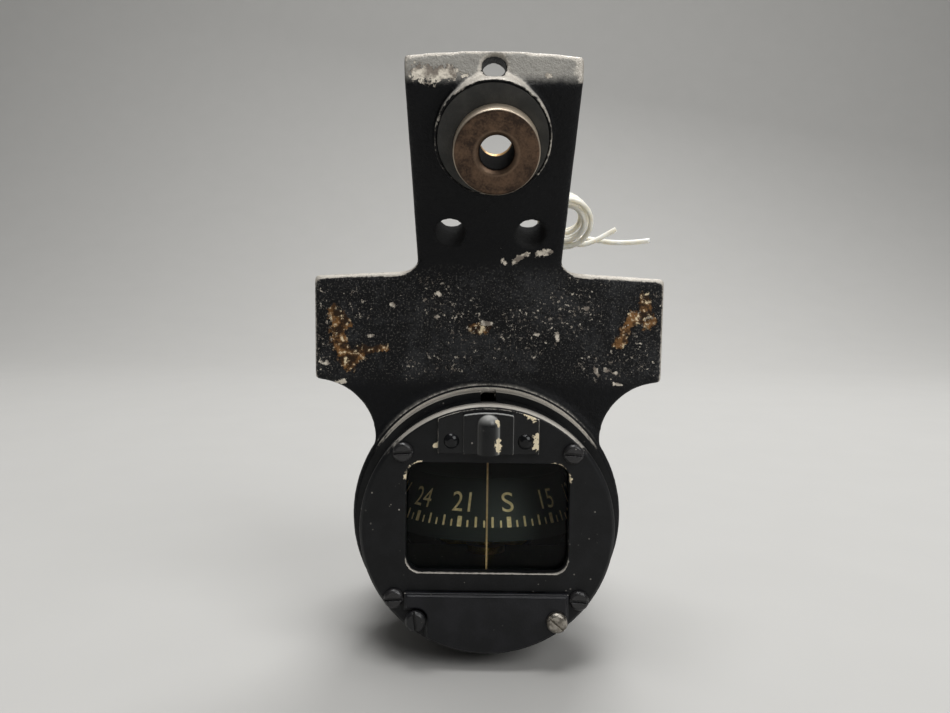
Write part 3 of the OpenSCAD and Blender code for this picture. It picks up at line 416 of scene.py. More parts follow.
def satin_enamel_on_casting():
    """Black enamel brushed on a sand casting: soft sheen, pebbled, chipped to primer and rubbed to metal,
    with painted highlight and sheen on lit tops, the wings' face painted lighter than the shaded neck, and a
    lighter grey painted into the foot holes as light.
    """
    material, shader, space = new_material("satin_enamel_on_cast_alloy")
    paint = colours()
    cloud = noise(space, 9.0, 5)
    grit = noise(space, 0.9, 6, 0.6)
    fine = noise(space, 0.32, 3)
    bore = attribute(space, "bore")
    off_groove = combine("ABSOLUTE", combine("SUBTRACT", from_axis(space), GROOVE_R))
    groove = between(off_groove, *GROOVE_EDGE)

    height = coordinate(space, "Z")
    # The wings' face is painted dusty grey and the neck left near-black: dust on the rough wings, and painted
    # light and shade from how each faces the light
    above_foot = between(height, *WING_FOOT_Z)
    on_wings = combine("MULTIPLY", above_foot, between(height, *WING_HEAD_Z))
    tone = total(scaled(cloud, 0.5), scaled(grit, 0.5))
    tone = combine("MULTIPLY", between(tone, 0.44, 0.64), on_wings)
    enamel = blend(tone, paint.enamel, paint.dusty_and_lit_enamel)
    # Fine pale specks on the wings: dust and painted glints of the pebbled surface
    dust = combine("MULTIPLY", between(noise(space, 0.5, 4, 0.6), 0.54, 0.66), on_wings)
    enamel = blend(scaled(dust, 0.7), enamel, "#6a6762")
    rub_and_sheen_mask = combine("SUBTRACT", attribute(space, "rub_and_sheen"), groove)
    rub_and_sheen_mask = total(rub_and_sheen_mask, scaled(grit, 0.4), scaled(cloud, 0.7))
    enamel = blend(between(rub_and_sheen_mask, 0.75, 1.65), enamel, paint.worn_and_lit_enamel)

    glued = ragged("glue", noise(space, 2.0, 6, 0.7), 1.9, 0.42, 0.6)
    patches = between(noise(space, 2.6, 6, 0.65), 0.42, 0.62)
    glue = blend(patches, "#2c1c0d", paint.old_glue)
    crumbs = between(noise(space, 1.3, 6, 0.65), 0.54, 0.64)
    glue = blend(crumbs, glue, "#f5e2bd")
    colour = blend(glued, enamel, glue)

    flakes = ragged("flake", noise(space, 0.9, 6, 0.7), 2.1)
    crowd = scaled(ragged("crowd", noise(space, 5.0, 4), 1.3, 0.05, 0.75), 0.13)
    small = total(noise(space, 0.8, 3, 0.6), crowd)
    large = total(noise(space, 2.1, 6, 0.76), crowd)
    specks = combine("MAXIMUM", between(small, 0.73, 0.79), between(large, 0.745, 0.78))
    chips = combine("MAXIMUM", flakes, combine("MULTIPLY", specks, on_wings))
    clean = between(noise(space, 2.2, 5), 0.4, 0.62)
    colour = blend(chips, colour, blend(clean, "#8b8278", paint.chip))

    # Bare metal on worn edges, and painted highlight on the lit top edges, right-hand ends and up-facing
    # fillets
    wear_and_glint = combine("SUBTRACT", attribute(space, "edge"), groove)
    wear_and_glint = total(wear_and_glint, scaled(grit, 0.7), scaled(noise(space, 5.0, 4), 0.5))
    wear_and_glint = between(wear_and_glint, 1.02, 1.3)
    metal = blend(fine, "#a9a39a", paint.bare_casting)
    colour = blend(wear_and_glint, colour, metal)
    rough = total(scaled(between(grit, 0.2, 0.8), 0.2, 0.36), scaled(chips, 0.25))
    feed(shader, {
        # Painted light: the foot holes' walls are a lighter grey than the enamel, standing for light inside
        # them
        "Base Color": blend(bore, colour, "#282828"),
        "Metallic": scaled(wear_and_glint, 0.35),
        "Roughness": combine("MAXIMUM", rough, bore),
        "Specular IOR Level": scaled(bore, BORE_SHINE - CASTING_SHINE, CASTING_SHINE),
    })
    relief = total(grit, scaled(fine, 0.4), scaled(chips, -0.8), scaled(glued, 0.6))
    bump(shader, relief, 0.34)
    return material


def enamel_on_metal(name, tones, rough, grain, speckle, rim=None, shine=OLD_SHINE):
    """Black enamel on turned metal: orange peel, pale specks and chips, a rim rubbed bright with a painted
    highlight along its top, and a painted highlight where the mesh stores one.

    The rim is given as its inner and outer radius from the case's axis.
    """
    material, shader, space = new_material(name)
    cloud = noise(space, 6.0, 5)
    peel = noise(space, grain, 4)
    colour = blend(between(cloud, 0.35, 0.7), *tones)
    broken = scaled(noise(space, 1.4, 6, 0.65), 0.9)
    # Worn edges, partly a painted highlight where they look up
    wear_and_glint = between(total(attribute(space, "edge"), broken), 1.0, 1.25)
    cells = add(space.id_data, "ShaderNodeTexVoronoi", {"Vector": space, "Scale": 1 / SPECK_SPACING})
    crowd = between(noise(space, 4.0, 3), 0.62 - speckle * 0.1, 0.72)
    specks = combine("MULTIPLY", between(cells.outputs["Distance"], 0.17, 0.1), crowd)
    wear_and_glint = combine("MAXIMUM", wear_and_glint, specks)
    if rim:
        # The rim is worn to metal and, only along its top, painted as the highlight that the overhead light
        # gives
        top = between(coordinate(space, "Z"), *RIM_RUB_AND_HIGHLIGHT_Z)
        rub_and_sheen_mask = combine("MULTIPLY", between(from_axis(space), *rim), top)
        rub_and_sheen_mask = between(total(rub_and_sheen_mask, scaled(broken, 0.8)), 0.9, 1.15)
        wear_and_glint = combine("MAXIMUM", wear_and_glint, rub_and_sheen_mask)
    # Painted highlight: near-white where the mesh stores one
    colour = blend(attribute(space, "painted_highlight"), colour, "#e4e4e0")
    colour = blend(wear_and_glint, colour, "#bdb8af")
    chips = ragged("flake", noise(space, 0.9, 6, 0.65), 1.8)
    feed(shader, {
        "Base Color": blend(chips, colour, "#f2e3c2"),
        "Specular IOR Level": shine,
        "Metallic": scaled(wear_and_glint, 0.5),
        "Roughness": scaled(peel, 0.22, rough - 0.11),
    })
    bump(shader, peel, 0.06)
    return material


def metal_finish(name, tones, rough, grain):
    """Turned metal: patches of a dark and a light tone, and fine tool marks."""
    material, shader, space = new_material(name)
    cloud = noise(space, grain, 5)
    fine = noise(space, 0.25, 3)
    mixed = total(scaled(cloud, 0.7), scaled(fine, 0.3))
    feed(shader, {
        "Base Color": blend(between(mixed, 0.36, 0.66), *tones),
        "Metallic": 1.0,
        "Roughness": scaled(cloud, 0.25, rough - 0.12),
    })
    bump(shader, fine, 0.03)
    return material


def browned_bronze():
    """Bronze browned by handling: dark in patches, with rings from the lathe, a bright edge that is worn and
    also a painted highlight, a bore painted near-black as shade, and a painted brass glint at its far end.
    """
    material, shader, space = new_material("browned_bronze")
    turned = vectors("SUBTRACT", "Vector", space, BORE)
    bush_axis = (0, math.cos(NECK_LEAN), math.sin(NECK_LEAN))
    along = vectors("DOT_PRODUCT", "Value", turned, bush_axis)
    length = vectors("LENGTH", "Value", turned)
    squares = [combine("POWER", value, 2.0) for value in (length, along)]
    radius = combine("SQRT", combine("SUBTRACT", *squares))
    rings = combine("SINE", scaled(radius, 9.0))
    cloud = noise(space, 3.2, 6, 0.6)
    fine = noise(space, 0.5, 5)
    patches = total(scaled(cloud, 0.65), scaled(fine, 0.35))
    colour = blend(between(patches, 0.36, 0.64), "#352921", colours().bronze)
    # The bush's outer edge is painted pale cream: a worn edge, and a painted highlight for the crescent that
    # the overhead light catches
    side = between(radius, *BUSH_SIDE_R)
    colour = blend(scaled(side, 0.9), colour, "#e6d6c0")
    outer = between(radius, *SINK_OUTER_R)
    sink = combine("MULTIPLY", outer, between(radius, *SINK_INNER_R))
    colour = blend(scaled(sink, 0.35), colour, "#86705c")
    # Painted shade: the bore is painted near-black
    bore = between(radius, *BUSH_BORE_R)
    colour = blend(bore, colour, "#0c0a09")
    # Painted glint: brass colour at the bore's far end
    brass = combine("MULTIPLY", bore, between(along, *BUSH_GLINT_DEPTH))
    shaded_bore = combine("SUBTRACT", bore, brass)
    feed(shader, {
        "Base Color": blend(brass, colour, "#b98d46"),
        "Metallic": 0.75,
        "Roughness": combine("MAXIMUM", scaled(fine, 0.25, 0.32), shaded_bore),
        "Specular IOR Level": scaled(shaded_bore, -NEW_SHINE, NEW_SHINE),
    })
    bump(shader, total(scaled(rings, 0.15), fine), 0.05)
    return material


def aged_rubber(name, tones):
    """Rubber gone matt and dusty with age."""
    material, shader, space = new_material(name)
    dusty = between(noise(space, 4.0, 5), 0.35, 0.7)
    grain = noise(space, 0.4, 4)
    feed(shader, {
        "Base Color": blend(dusty, *tones),
        "Roughness": scaled(grain, 0.2, 0.65),
    })
    bump(shader, grain, 0.08)
    return material


def clear_glass(name, rough, wetted=None):
    """Plain glass, faintly dusty. Light passes it to what lies behind, as it does through a real pane.

    The face beyond the distance wetted is against the compass fluid, so it neither shines nor bends the view.
    """
    material, shader, space = new_material(name)
    dust = between(noise(space, 1.2, 6, 0.7), 0.5, 0.75)
    feed(shader, {
        "Base Color": GLASS_TINT,
        "Roughness": scaled(dust, 0.05, rough),
        "Transmission Weight": 1.0,
        "IOR": 1.45,
        "Specular Tint": (PANE_SHINE, PANE_SHINE, PANE_SHINE, 1),
    })
    tree = material.node_tree
    unseen = add(tree, "ShaderNodeLightPath").outputs["Is Shadow Ray"]
    if wetted:
        inside = combine("GREATER_THAN", coordinate(space, "Y"), wetted)
        unseen = combine("MAXIMUM", unseen, inside)
    through = add(tree, "ShaderNodeBsdfTransparent", {"Color": GLASS_TINT})
    pane = add(tree, "ShaderNodeMixShader", {0: unseen, 1: shader.outputs[0], 2: through.outputs[0]})
    feed(tree.nodes["Material Output"], {"Surface": pane.outputs[0]})
    return material


def flat_paint(name, tones, rough, size):
    """Matt paint with slightly uneven cover."""
    material, shader, space = new_material(name)
    cloud = noise(space, size, 5, 0.6)
    feed(shader, {
        "Base Color": blend(between(cloud, 0.35, 0.68), *tones),
        "Roughness": scaled(cloud, 0.15, rough),
    })
    bump(shader, cloud, 0.02)
    return material


def plastic_insulation():
    """White wire insulation, yellowed in places, that lets a little light through."""
    material, shader, space = new_material("white_wire_insulation")
    clean = between(noise(space, 3.0, 4), 0.35, 0.7)
    fine = noise(space, 0.35, 3)
    feed(shader, {
        "Base Color": blend(clean, "#efe9da", colours().insulation),
        "Subsurface Weight": 0.8,
        "Subsurface Radius": (1.0, 0.95, 0.85),
        "Subsurface Scale": 1.5 * MM,
        "Roughness": scaled(fine, 0.2, 0.34),
    })
    bump(shader, fine, 0.03)
    return material


def deselect():
    if bpy.context.object and bpy.context.object.mode != "OBJECT":
        bpy.ops.object.mode_set(mode="OBJECT")
    bpy.ops.object.select_all(action="DESELECT")


def focus(piece):
    deselect()
    piece.select_set(True)
    bpy.context.view_layer.objects.active = piece


def apply_modifier(piece, kind, **settings):
    focus(piece)
    modifier = piece.modifiers.new(kind.lower(), kind)
    for name, value in settings.items():
        setattr(modifier, name, value)
    bpy.ops.object.modifier_apply(modifier=modifier.name)


def merged_copy(node, name):
    """A copy of a CAD node's mesh as one closed surface with flat faces joined, in the node's place."""
    piece = bpy.data.objects.new(name, NODES[node].data.copy())
    bpy.context.scene.collection.objects.link(piece)
    focus(piece)
    bpy.ops.object.mode_set(mode="EDIT")
    bpy.ops.mesh.select_all(action="SELECT")
    bpy.ops.mesh.remove_doubles(threshold=WELD)
    bpy.ops.mesh.dissolve_limited(angle_limit=FLAT)
    bpy.ops.object.mode_set(mode="OBJECT")
    return piece


def dress(piece, material, body, slot, *nodes):
    """Gives a piece its material and body, and names the CAD nodes that it replaces. Its slot is not used."""
    piece.data.materials.clear()
    piece.data.materials.append(material)
    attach(piece, body)
    if nodes:
        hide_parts(*nodes)


def vertex_values(mesh, name):
    """Each vertex's place or normal, by the name that the mesh gives it."""
    values = np.zeros(len(mesh.vertices) * 3)
    mesh.vertices.foreach_get(name, values)
    return values.reshape(-1, 3)


def compass_points(mesh):
    """Each vertex in the compass frame."""
    return vertex_values(mesh, "co") / MM + np.array(BORE)


def mark_edges(piece, grain, upward=0.0):
    """Finds how far each point stands out on a convex edge, from 0 to 1, for wear to follow.

    The share upward keeps the wear to edges that look up, so that it also stands as a painted highlight where
    light from above catches them.
    """
    mesh = piece.data
    points = vertex_values(mesh, "co") / MM
    normals = vertex_values(mesh, "normal")
    ends = np.zeros(len(mesh.edges) * 2, int)
    mesh.edges.foreach_get("vertices", ends)
    a, b = ends.reshape(-1, 2).T
    degree = np.bincount(np.concatenate([a, b]), minlength=len(points)).clip(1)

    def neighbours(values):
        """The mean over each point's neighbours."""
        total = np.zeros_like(values)
        np.add.at(total, a, values[b])
        np.add.at(total, b, values[a])
        return total / (degree[:, None] if values.ndim > 1 else degree)

    edge = -((neighbours(points) - points) * normals).sum(1)
    for _ in range(3):
        edge = 0.5 * edge + 0.5 * neighbours(edge)
    edge = (edge / (grain / MM) * 5.5 - 0.15).clip(0, 1)
    return edge * ((1 - upward) + upward * (normals[:, 2] * 1.6 + 0.35).clip(0, 1))


def ramp(values, low, high):
    """0 at low, 1 at high, straight between and level beyond; low may be the greater."""
    return np.clip((values - low) / (high - low), 0, 1)


def within(values, low, high):
    """Which values lie between low and high."""
    return (values > low) & (values < high)


def store(mesh, name, values):
    """Keeps one value for each vertex, for a material to read."""
    field = mesh.attributes.new(name, "FLOAT", "POINT")
    field.data.foreach_set("value", values.astype(np.float32))


def stroke_field(points, strokes):
    """How near points are to the middle of a stroke: 1 there, a half at its radius and 0 at twice that."""
    field = np.zeros(len(points))
    for start, end, radius in strokes:
        reach, span = points - np.array(start), np.subtract(end, start)
        share = np.clip(reach @ span / (span @ span), 0, 1)
        distance = np.linalg.norm(reach - share[:, None] * span, axis=1)
        field = np.maximum(field, 1 - distance / (2 * radius))
    return field


def recast(node, name, grain, passes=2):
    """A copy of a CAD node in fine even mesh, with its edges gently rounded off."""
    piece = merged_copy(node, name)
    apply_modifier(piece, "REMESH", mode="VOXEL", voxel_size=grain)
    apply_modifier(piece, "SMOOTH", factor=0.5, iterations=passes)
    focus(piece)
    bpy.ops.object.shade_smooth()
    return piece


def softened(node, material, slot, width=None):
    """Replaces a CAD node by a copy with small bevels on its edges."""
    piece = merged_copy(node, node + "_finish")
    apply_modifier(
        piece, "BEVEL", width=width or sizes().edge_softness, segments=2, limit_method="ANGLE",
        angle_limit=math.radians(32), use_clamp_overlap=True, miter_outer="MITER_ARC",
    )
    focus(piece)
    bpy.ops.object.shade_smooth_by_angle(angle=math.radians(38))
    apply_modifier(piece, "WEIGHTED_NORMAL", keep_sharp=True)
    dress(piece, material, "instrument", slot, node)


def repaint(material, *nodes):
    """Gives CAD nodes that keep their own shape a better material."""
    for node in nodes:
        NODES[node].data.materials.clear()
        NODES[node].data.materials.append(material)
        focus(NODES[node])
        bpy.ops.object.shade_smooth_by_angle(angle=math.radians(30))


def on_coil(x, s, depth):
    """A point behind the neck: across, up the slope, and back from its face."""
    sine, cosine = math.sin(NECK_LEAN), math.cos(NECK_LEAN)
    y, z = NECK_CORNER
    return Vector((x, y - s * sine + depth * cosine, z + s * cosine + depth * sine))


def smooth_route(points):
    """A smooth line through chosen points, in steps of about a wire's thickness."""
    route = []
    for i in range(len(points) - 1):
        b, c = points[i], points[i + 1]
        a = points[i - 1] if i else 2 * b - c
        d = points[i + 2] if i + 2 < len(points) else 2 * c - b
        steps = max(1, round((c - b).length / ROUTE_STEP))
        for k in range(steps):
            t = k / steps
            curved = t * (c - a) + t * t * (2 * a - 5 * b + 4 * c - d) + t * t * t * (3 * b - a - 3 * c + d)
            route.append(0.5 * (2 * b + curved))
    return route + [points[-1]]


def coil_route(radius, layer):
    """The coil winds in on one layer, climbs to the next, and winds out again."""
    route = []
    for i in range(int(2 * WIRE_TURNS * RINGS_PER_TURN) + 1):
        turn = i / RINGS_PER_TURN
        r = radius - WIRE_STEP * min(turn, 2 * WIRE_TURNS - turn)
        climb = min(1, max(0, turn - WIRE_TURNS + 0.25) * 2)
        angle = 2 * math.pi * turn
        x, s = COIL_X + r * math.sin(angle), COIL_S - r * math.cos(angle)
        route.append(on_coil(x, s, layer + WIRE_STEP * climb * climb * (3 - 2 * climb)))
    return route


FEED_LEAD = [
    (0.95, 27.2, 32.6), (0.95, 30, 32.6), (1, 33, 33.6), (1.2, 34.6, 36.5), (1.5, 34.8, 41), (2, 34, 47),
    (3, 32.5, 53), (4.5, 31, 59), (6.8, 29.9, 64.5), (10, 29.2, 69), (14, 28.9, 71.2),
]
GROUND_LEAD = [
    (-0.95, 27.2, 32.6), (-0.95, 30, 32.6), (-1, 33.2, 33.6), (-1, 35.2, 36.8), (-0.8, 36, 41.5),
    (0, 36, 47.5), (1.2, 35.3, 54), (3, 34.4, 60.5), (5.6, 33.4, 66.3), (9.2, 32.5, 71), (13.5, 32, 73.4),
]
FEED_TAIL = [(27.5, 30, 74.2), (31, 30, 75.6), (36, 30, 78.4)]
GROUND_TAIL = [(29, 33.2, 75.8), (35, 33.4, 75), (41, 33.4, 75), (46.4, 33.2, 75.6)]


class COMPASS_OT_stage(bpy.types.Operator):
    """Sets the camera, the pale floor and the soft studio light"""

    bl_idname = "compass.stage"
    bl_label = "Stage"

    def execute(self, context):
        camera = bpy.data.cameras.new("camera")
        camera.lens = CAMERA_LENS
        camera.sensor_width = SENSOR_WIDTH
        camera.clip_start = 0.01
        seat = bpy.data.objects.new("camera", camera)
        context.scene.collection.objects.link(seat)
        seat.matrix_world = (
            Matrix.Translation(place(*CAMERA_AT))
            @ Matrix.Rotation(math.radians(90 + CAMERA_PITCH), 4, "X")
            @ Matrix.Rotation(math.radians(CAMERA_ROLL), 4, "Z")
        )
        context.scene.camera = seat
        self.floor()
        for name, at, aim, width, power in LAMPS:
            self.light(name, place(*at), place(*aim), width, power)
        self.surroundings(context.scene)
        context.scene.view_settings.view_transform = "Standard"
        return {"FINISHED"}

    def floor(self):
        """A pale floor that turns up into a backdrop behind the object."""
        deselect()
        bpy.ops.mesh.primitive_plane_add(size=FLOOR_WIDTH, location=place(0, 0, FLOOR_Z))
        ground = bpy.context.object
        ground.name = "floor"
        bpy.ops.object.transform_apply(location=True)
        bpy.ops.object.mode_set(mode="EDIT")
        bpy.ops.mesh.select_mode(type="EDGE")
        bpy.ops.mesh.select_all(action="DESELECT")
        bpy.ops.object.mode_set(mode="OBJECT")
        for edge in ground.data.edges:
            edge.select = all(ground.data.vertices[v].co.y > FLOOR_WIDTH / 3 for v in edge.vertices)
        bpy.ops.object.mode_set(mode="EDIT")
        bpy.ops.transform.translate(value=(0, BACKDROP_SHIFT, 0))
        bpy.ops.mesh.extrude_region_move(TRANSFORM_OT_translate={"value": (0, 0, BACKDROP_HEIGHT)})
        bpy.ops.object.mode_set(mode="OBJECT")
        apply_modifier(ground, "BEVEL", width=BACKDROP_BEND, segments=24, limit_method="ANGLE")
        bpy.ops.object.shade_smooth()
        material, shader, space = new_material("pale_studio_floor")
        cloud = noise(space, 40.0, 3)
        feed(shader, {
            "Base Color": blend(cloud, "#b2b1ae", colours().floor),
            "Roughness": 0.8,
        })
        ground.data.materials.append(material)

    def light(self, name, at, aim, width, power):
        """A square soft lamp."""
        lamp = bpy.data.lights.new(name, "AREA")
        lamp.size = width
        lamp.energy = power
        seat = bpy.data.objects.new(name, lamp)
        bpy.context.scene.collection.objects.link(seat)
        turn = (aim - at).to_track_quat("-Z", "Y")
        seat.matrix_world = Matrix.Translation(at) @ turn.to_matrix().to_4x4()

    def surroundings(self, scene):
        """An even, dim grey all round."""
        world = bpy.data.worlds.new("studio")
        scene.world = world
        world.use_nodes = True
        tree = world.node_tree
        tree.nodes.clear()
        grey = (SURROUND_GREY, SURROUND_GREY, SURROUND_GREY, 1)
        glow = add(tree, "ShaderNodeBackground", {"Color": grey, "Strength": 1.0})
        add(tree, "ShaderNodeOutputWorld", {"Surface": glow.outputs[0]})


class COMPASS_OT_wires(bpy.types.Operator):
    """Lays the two lamp wires from their grommet, up behind the bracket, into their coils"""

    bl_idname = "compass.wires"
    bl_label = "Lamp wires"

    def execute(self, context):
        material = plastic_insulation()
        for name, lead, tail, radius, layer in (
            ("feed_wire", FEED_LEAD, FEED_TAIL, FRONT_COIL_R, FRONT_LAYER),
            ("ground_wire", GROUND_LEAD, GROUND_TAIL, REAR_COIL_R, REAR_LAYER),
        ):
            start = on_coil(COIL_X, COIL_S - radius, layer)
            end = on_coil(COIL_X, COIL_S - radius, layer + WIRE_STEP)
            route = smooth_route([Vector(p) for p in lead] + [start - LEAD_IN, start])
            route += coil_route(radius, layer)[1:-1]
            route += smooth_route([end, end + LEAD_IN] + [Vector(p) for p in tail])
            self.lay(name, [place(*p) for p in route], material)
        return {"FINISHED"}

    def lay(self, name, points, material):
        """Lays one wire as a round tube through points."""
        curve = bpy.data.curves.new(name, "CURVE")
        curve.dimensions = "3D"
        spline = curve.splines.new("POLY")
        spline.points.add(len(points) - 1)
        for point, at in zip(spline.points, points):
            point.co = (*at, 1)
        curve.bevel_depth = sizes().wire_diameter / 2
        curve.bevel_resolution = 3
        curve.use_fill_caps = True
        spline.use_smooth = True
        wire = bpy.data.objects.new(name, curve)
        bpy.context.scene.collection.objects.link(wire)
        dress(wire, material, "instrument", "wire_white", name + "_lead", name + "_coil", name + "_tail")


class COMPASS_OT_bracket(bpy.types.Operator):
    """Gives the bracket its soft cast surface and its worn enamel, with painted highlights and sheen where
    light falls
    """

    bl_idname = "compass.bracket"
    bl_label = "Bracket"

    def execute(self, context):
        casting = recast("bracket", "bracket_casting", sizes().casting_grain, 3)
        sand = bpy.data.textures.new("sand", "CLOUDS")
        sand.noise_scale = SAND_SIZE
        sand.noise_depth = 3
        apply_modifier(
            casting, "DISPLACE", texture=sand, strength=SAND_DEPTH, mid_level=0.62, texture_coords="LOCAL",
        )
        self.round_off(casting)
        self.wear(casting)
        dress(casting, satin_enamel_on_casting(), "instrument", "bracket_enamel", "bracket")
        return {"FINISHED"}

    def wear(self, casting):
        """Stores where the enamel is rubbed and where painted highlight and sheen lie, where it is gone, and
        where old marks lie.
        """
        points = compass_points(casting.data)
        normals = vertex_values(casting.data, "normal")
        # Edge wear kept half to up-looking edges, so it is partly a painted highlight
        edge = mark_edges(casting, sizes().casting_grain, 0.5)
        x, y, z = points.T
        side, front = np.abs(x), y < FRONT_Y
        facing = ramp(-normals[:, 1], 0, 0.5)
        upward = ramp(normals[:, 2], 0.2, 0.7)
        # The lip is greyed as wear and as painted sheen, lightest at its top and fading downward where light
        # from above falls; its right-hand end is painted lighter as highlight
        lip = ramp(z, *LIP_RUB_AND_SHEEN_Z)
        lip_end = ramp(x, *LIP_END_X) * lip
        from_hole = np.hypot(x, z - LIP_HOLE_Z) - LIP_HOLE_R
        hole_rim = ramp(np.abs(from_hole - 0.4), RUB_WIDTH, 0) * (y < LIP_FRONT_Y)
        # The ring band is worn to metal, and painted as a highlight along its top arcs only, where the
        # overhead light catches the fillet
        band = ramp(np.hypot(x, z), *RING_BAND_R) * (y < RING_FRONT_Y) * ramp(z, *RING_BAND_Z)
        # Wing top edges are worn and painted as a highlight where light from above catches them
        stations = np.arange(23, 47, 2)
        heights = [z[(np.abs(side - at) < 1) & front].max() for at in stations]
        above = z - np.interp(side, stations, heights)
        wing_tops = ramp(above, *WING_TOP_DROP) * (side > WING_ROOT_X) * front * (above < 1)
        # Painted sheen on the fillets' up-facing surfaces, added to their worn edges
        fillets = np.clip(edge + upward, 0, 1) * within(side, *FILLET_X) * front * within(z, *FILLET_Z)
        # Both wing ends are worn; the right-hand end is painted brighter as a highlight from the light at the
        # upper right
        ends = ramp(side, *WING_END_X) * front * np.where(x > 0, 1.0, 0.8)
        # The boss's rim is worn; its up-facing top is also painted as a highlight where the overhead light
        # falls
        boss = ramp(np.abs(self.from_bush(x, y, z) - BOSS_RIM_R), RUB_WIDTH, 0)
        boss = boss * (z > BOSS_FOOT_Z) * (y < BOSS_FRONT_Y)
        boss_side = boss * ramp(side, *BOSS_SIDE_X) * np.where(x > 0, 1.0, 0.5)
        from_foot = np.hypot(side - FOOT_HOLE_X, self.up_neck(y, z) - FOOT_HOLE_S) - FOOT_HOLE_R
        # The rubbed grey is wear and painted sheen together: the lip's face, the ring band's top arcs, the
        # boss's top and the wing tops are greyed where light from above falls
        rub_and_sheen = lip * facing + 0.9 * band + boss * upward + 0.6 * wing_tops
        edge = 1.25 * edge + 0.6 * wing_tops + 0.75 * fillets + 0.65 * ends + 0.85 * band
        edge += 0.35 * lip * facing + 0.45 * boss_side
        edge += 0.5 * (lip_end + boss * upward + lip * upward + hole_rim)
        in_hole = from_hole < 0.15
        fields = {
            "bore": 1.0 * (from_foot < 0.25),
            "rub_and_sheen": np.where(in_hole, 0, np.clip(rub_and_sheen, 0, 1)),
            "edge": np.where(in_hole, 0, np.clip(edge, 0, 1.2)),
            "glue": stroke_field(points, GLUE_STROKES),
            "flake": stroke_field(points, NECK_FLAKES + LIP_FLAKES + WING_FLAKES),
            "crowd": stroke_field(points, SPECK_STROKES),
        }
        for name, values in fields.items():
            store(casting.data, name, values)

    def round_off(self, casting):
        """Rounds the casting's outer corners further, away from the thin boss, the ring and the holes."""
        x, y, z = compass_points(casting.data).T
        clear = (self.from_bush(x, y, z) > CLEAR_BOSS_R) & (self.up_neck(y, z) > CLEAR_FOOT_S)
        clear = (clear | (np.abs(x) > CLEAR_NECK_X)) & (np.hypot(x, z) > CLEAR_RING_R)
        group = casting.vertex_groups.new(name="outer_corners")
        group.add(np.flatnonzero(clear).tolist(), 1.0, "REPLACE")
        apply_modifier(casting, "SMOOTH", factor=0.5, iterations=16, vertex_group="outer_corners")

    def up_neck(self, y, z):
        """How far points lie up the neck's slope."""
        return (z - NECK_CORNER[1]) * math.cos(NECK_LEAN) - (y - NECK_CORNER[0]) * math.sin(NECK_LEAN)

    def from_bush(self, x, y, z):
        """Distance of points from the boss's own axis."""
        return np.hypot(x, self.up_neck(y, z) - BOSS_S)


class COMPASS_OT_bush(bpy.types.Operator):
    """Finishes the bronze bush and the rubber that holds it"""

    bl_idname = "compass.bush"
    bl_label = "Mounting bush"

    def execute(self, context):
        softened("mount_bush", browned_bronze(), "bronze_bush", width=0.3 * MM)
        softened("bush_rubber", aged_rubber("aged_rubber", ("#292927", "#383734")), "mount_rubber")
        return {"FINISHED"}


class COMPASS_OT_case(bpy.types.Operator):
    """Finishes the case, its rear cover and its filler plug"""

    bl_idname = "compass.case"
    bl_label = "Case"

    def execute(self, context):
        tones = (colours().case_enamel, "#141517")
        enamel = enamel_on_metal("satin_enamel_on_case", tones, 0.42, 0.8, 0.4, CASE_RIM_R)
        softened("case", enamel, "case_enamel", width=0.3 * MM)
        softened("rear_cover", enamel, "case_enamel", width=0.4 * MM)
        brass = metal_finish("turned_brass", BRASS, 0.38, 2.0)
        seal = aged_rubber("seal_rubber", ("#121212", "#1d1d1d"))
        softened("filler_plug", brass, "bare_brass")
        softened("filler_washer", seal, "seal_rubber", width=0.1 * MM)
        softened("wire_grommet", seal, "seal_rubber", width=0.35 * MM)
        repaint(seal, "rear_gasket", "window_gasket")
        repaint(brass, "diaphragm")
        return {"FINISHED"}


class COMPASS_OT_bezel(bpy.types.Operator):
    """Finishes the bezel, its window and the lubber line"""

    bl_idname = "compass.bezel"
    bl_label = "Bezel"

    def execute(self, context):
        tones = (colours().case_enamel, "#121315")
        enamel = enamel_on_metal("matt_enamel_on_bezel", tones, 0.5, 0.5, 0.8, BEZEL_RIM_R)
        bezel = recast("bezel", "bezel_finish", BEZEL_GRAIN)
        points = compass_points(bezel.data)
        x, y, z = points.T
        across = np.abs(x) - WINDOW_W / 2 + WINDOW_R
        up = np.abs(z - WINDOW_Z) - WINDOW_H / 2 + WINDOW_R
        outside = np.hypot(across.clip(0), up.clip(0)) - WINDOW_R
        # The window's lower sill is worn, and painted as a highlight where the overhead light catches its
        # edge
        sill = within(outside, *SILL_EDGE) * (y < SILL_Y) * ramp(z, *SILL_Z)
        # Edge wear kept partly to up-looking edges, so it is partly a painted highlight
        edge = 0.9 * mark_edges(bezel, BEZEL_GRAIN, 0.6)
        store(bezel.data, "edge", np.clip(edge + 0.65 * sill, 0, 1.2))
        store(bezel.data, "flake", stroke_field(points, WINDOW_CHIPS))
        dress(bezel, enamel, "instrument", "bezel_enamel", "bezel")
        repaint(clear_glass("window_glass", 0.02, GLASS_MIDDLE), "window_glass")
        cream = flat_paint("cream_lubber_paint", ("#b58f60", "#dcb884"), 0.55, 1.5)
        repaint(cream, "lubber_line")
        return {"FINISHED"}


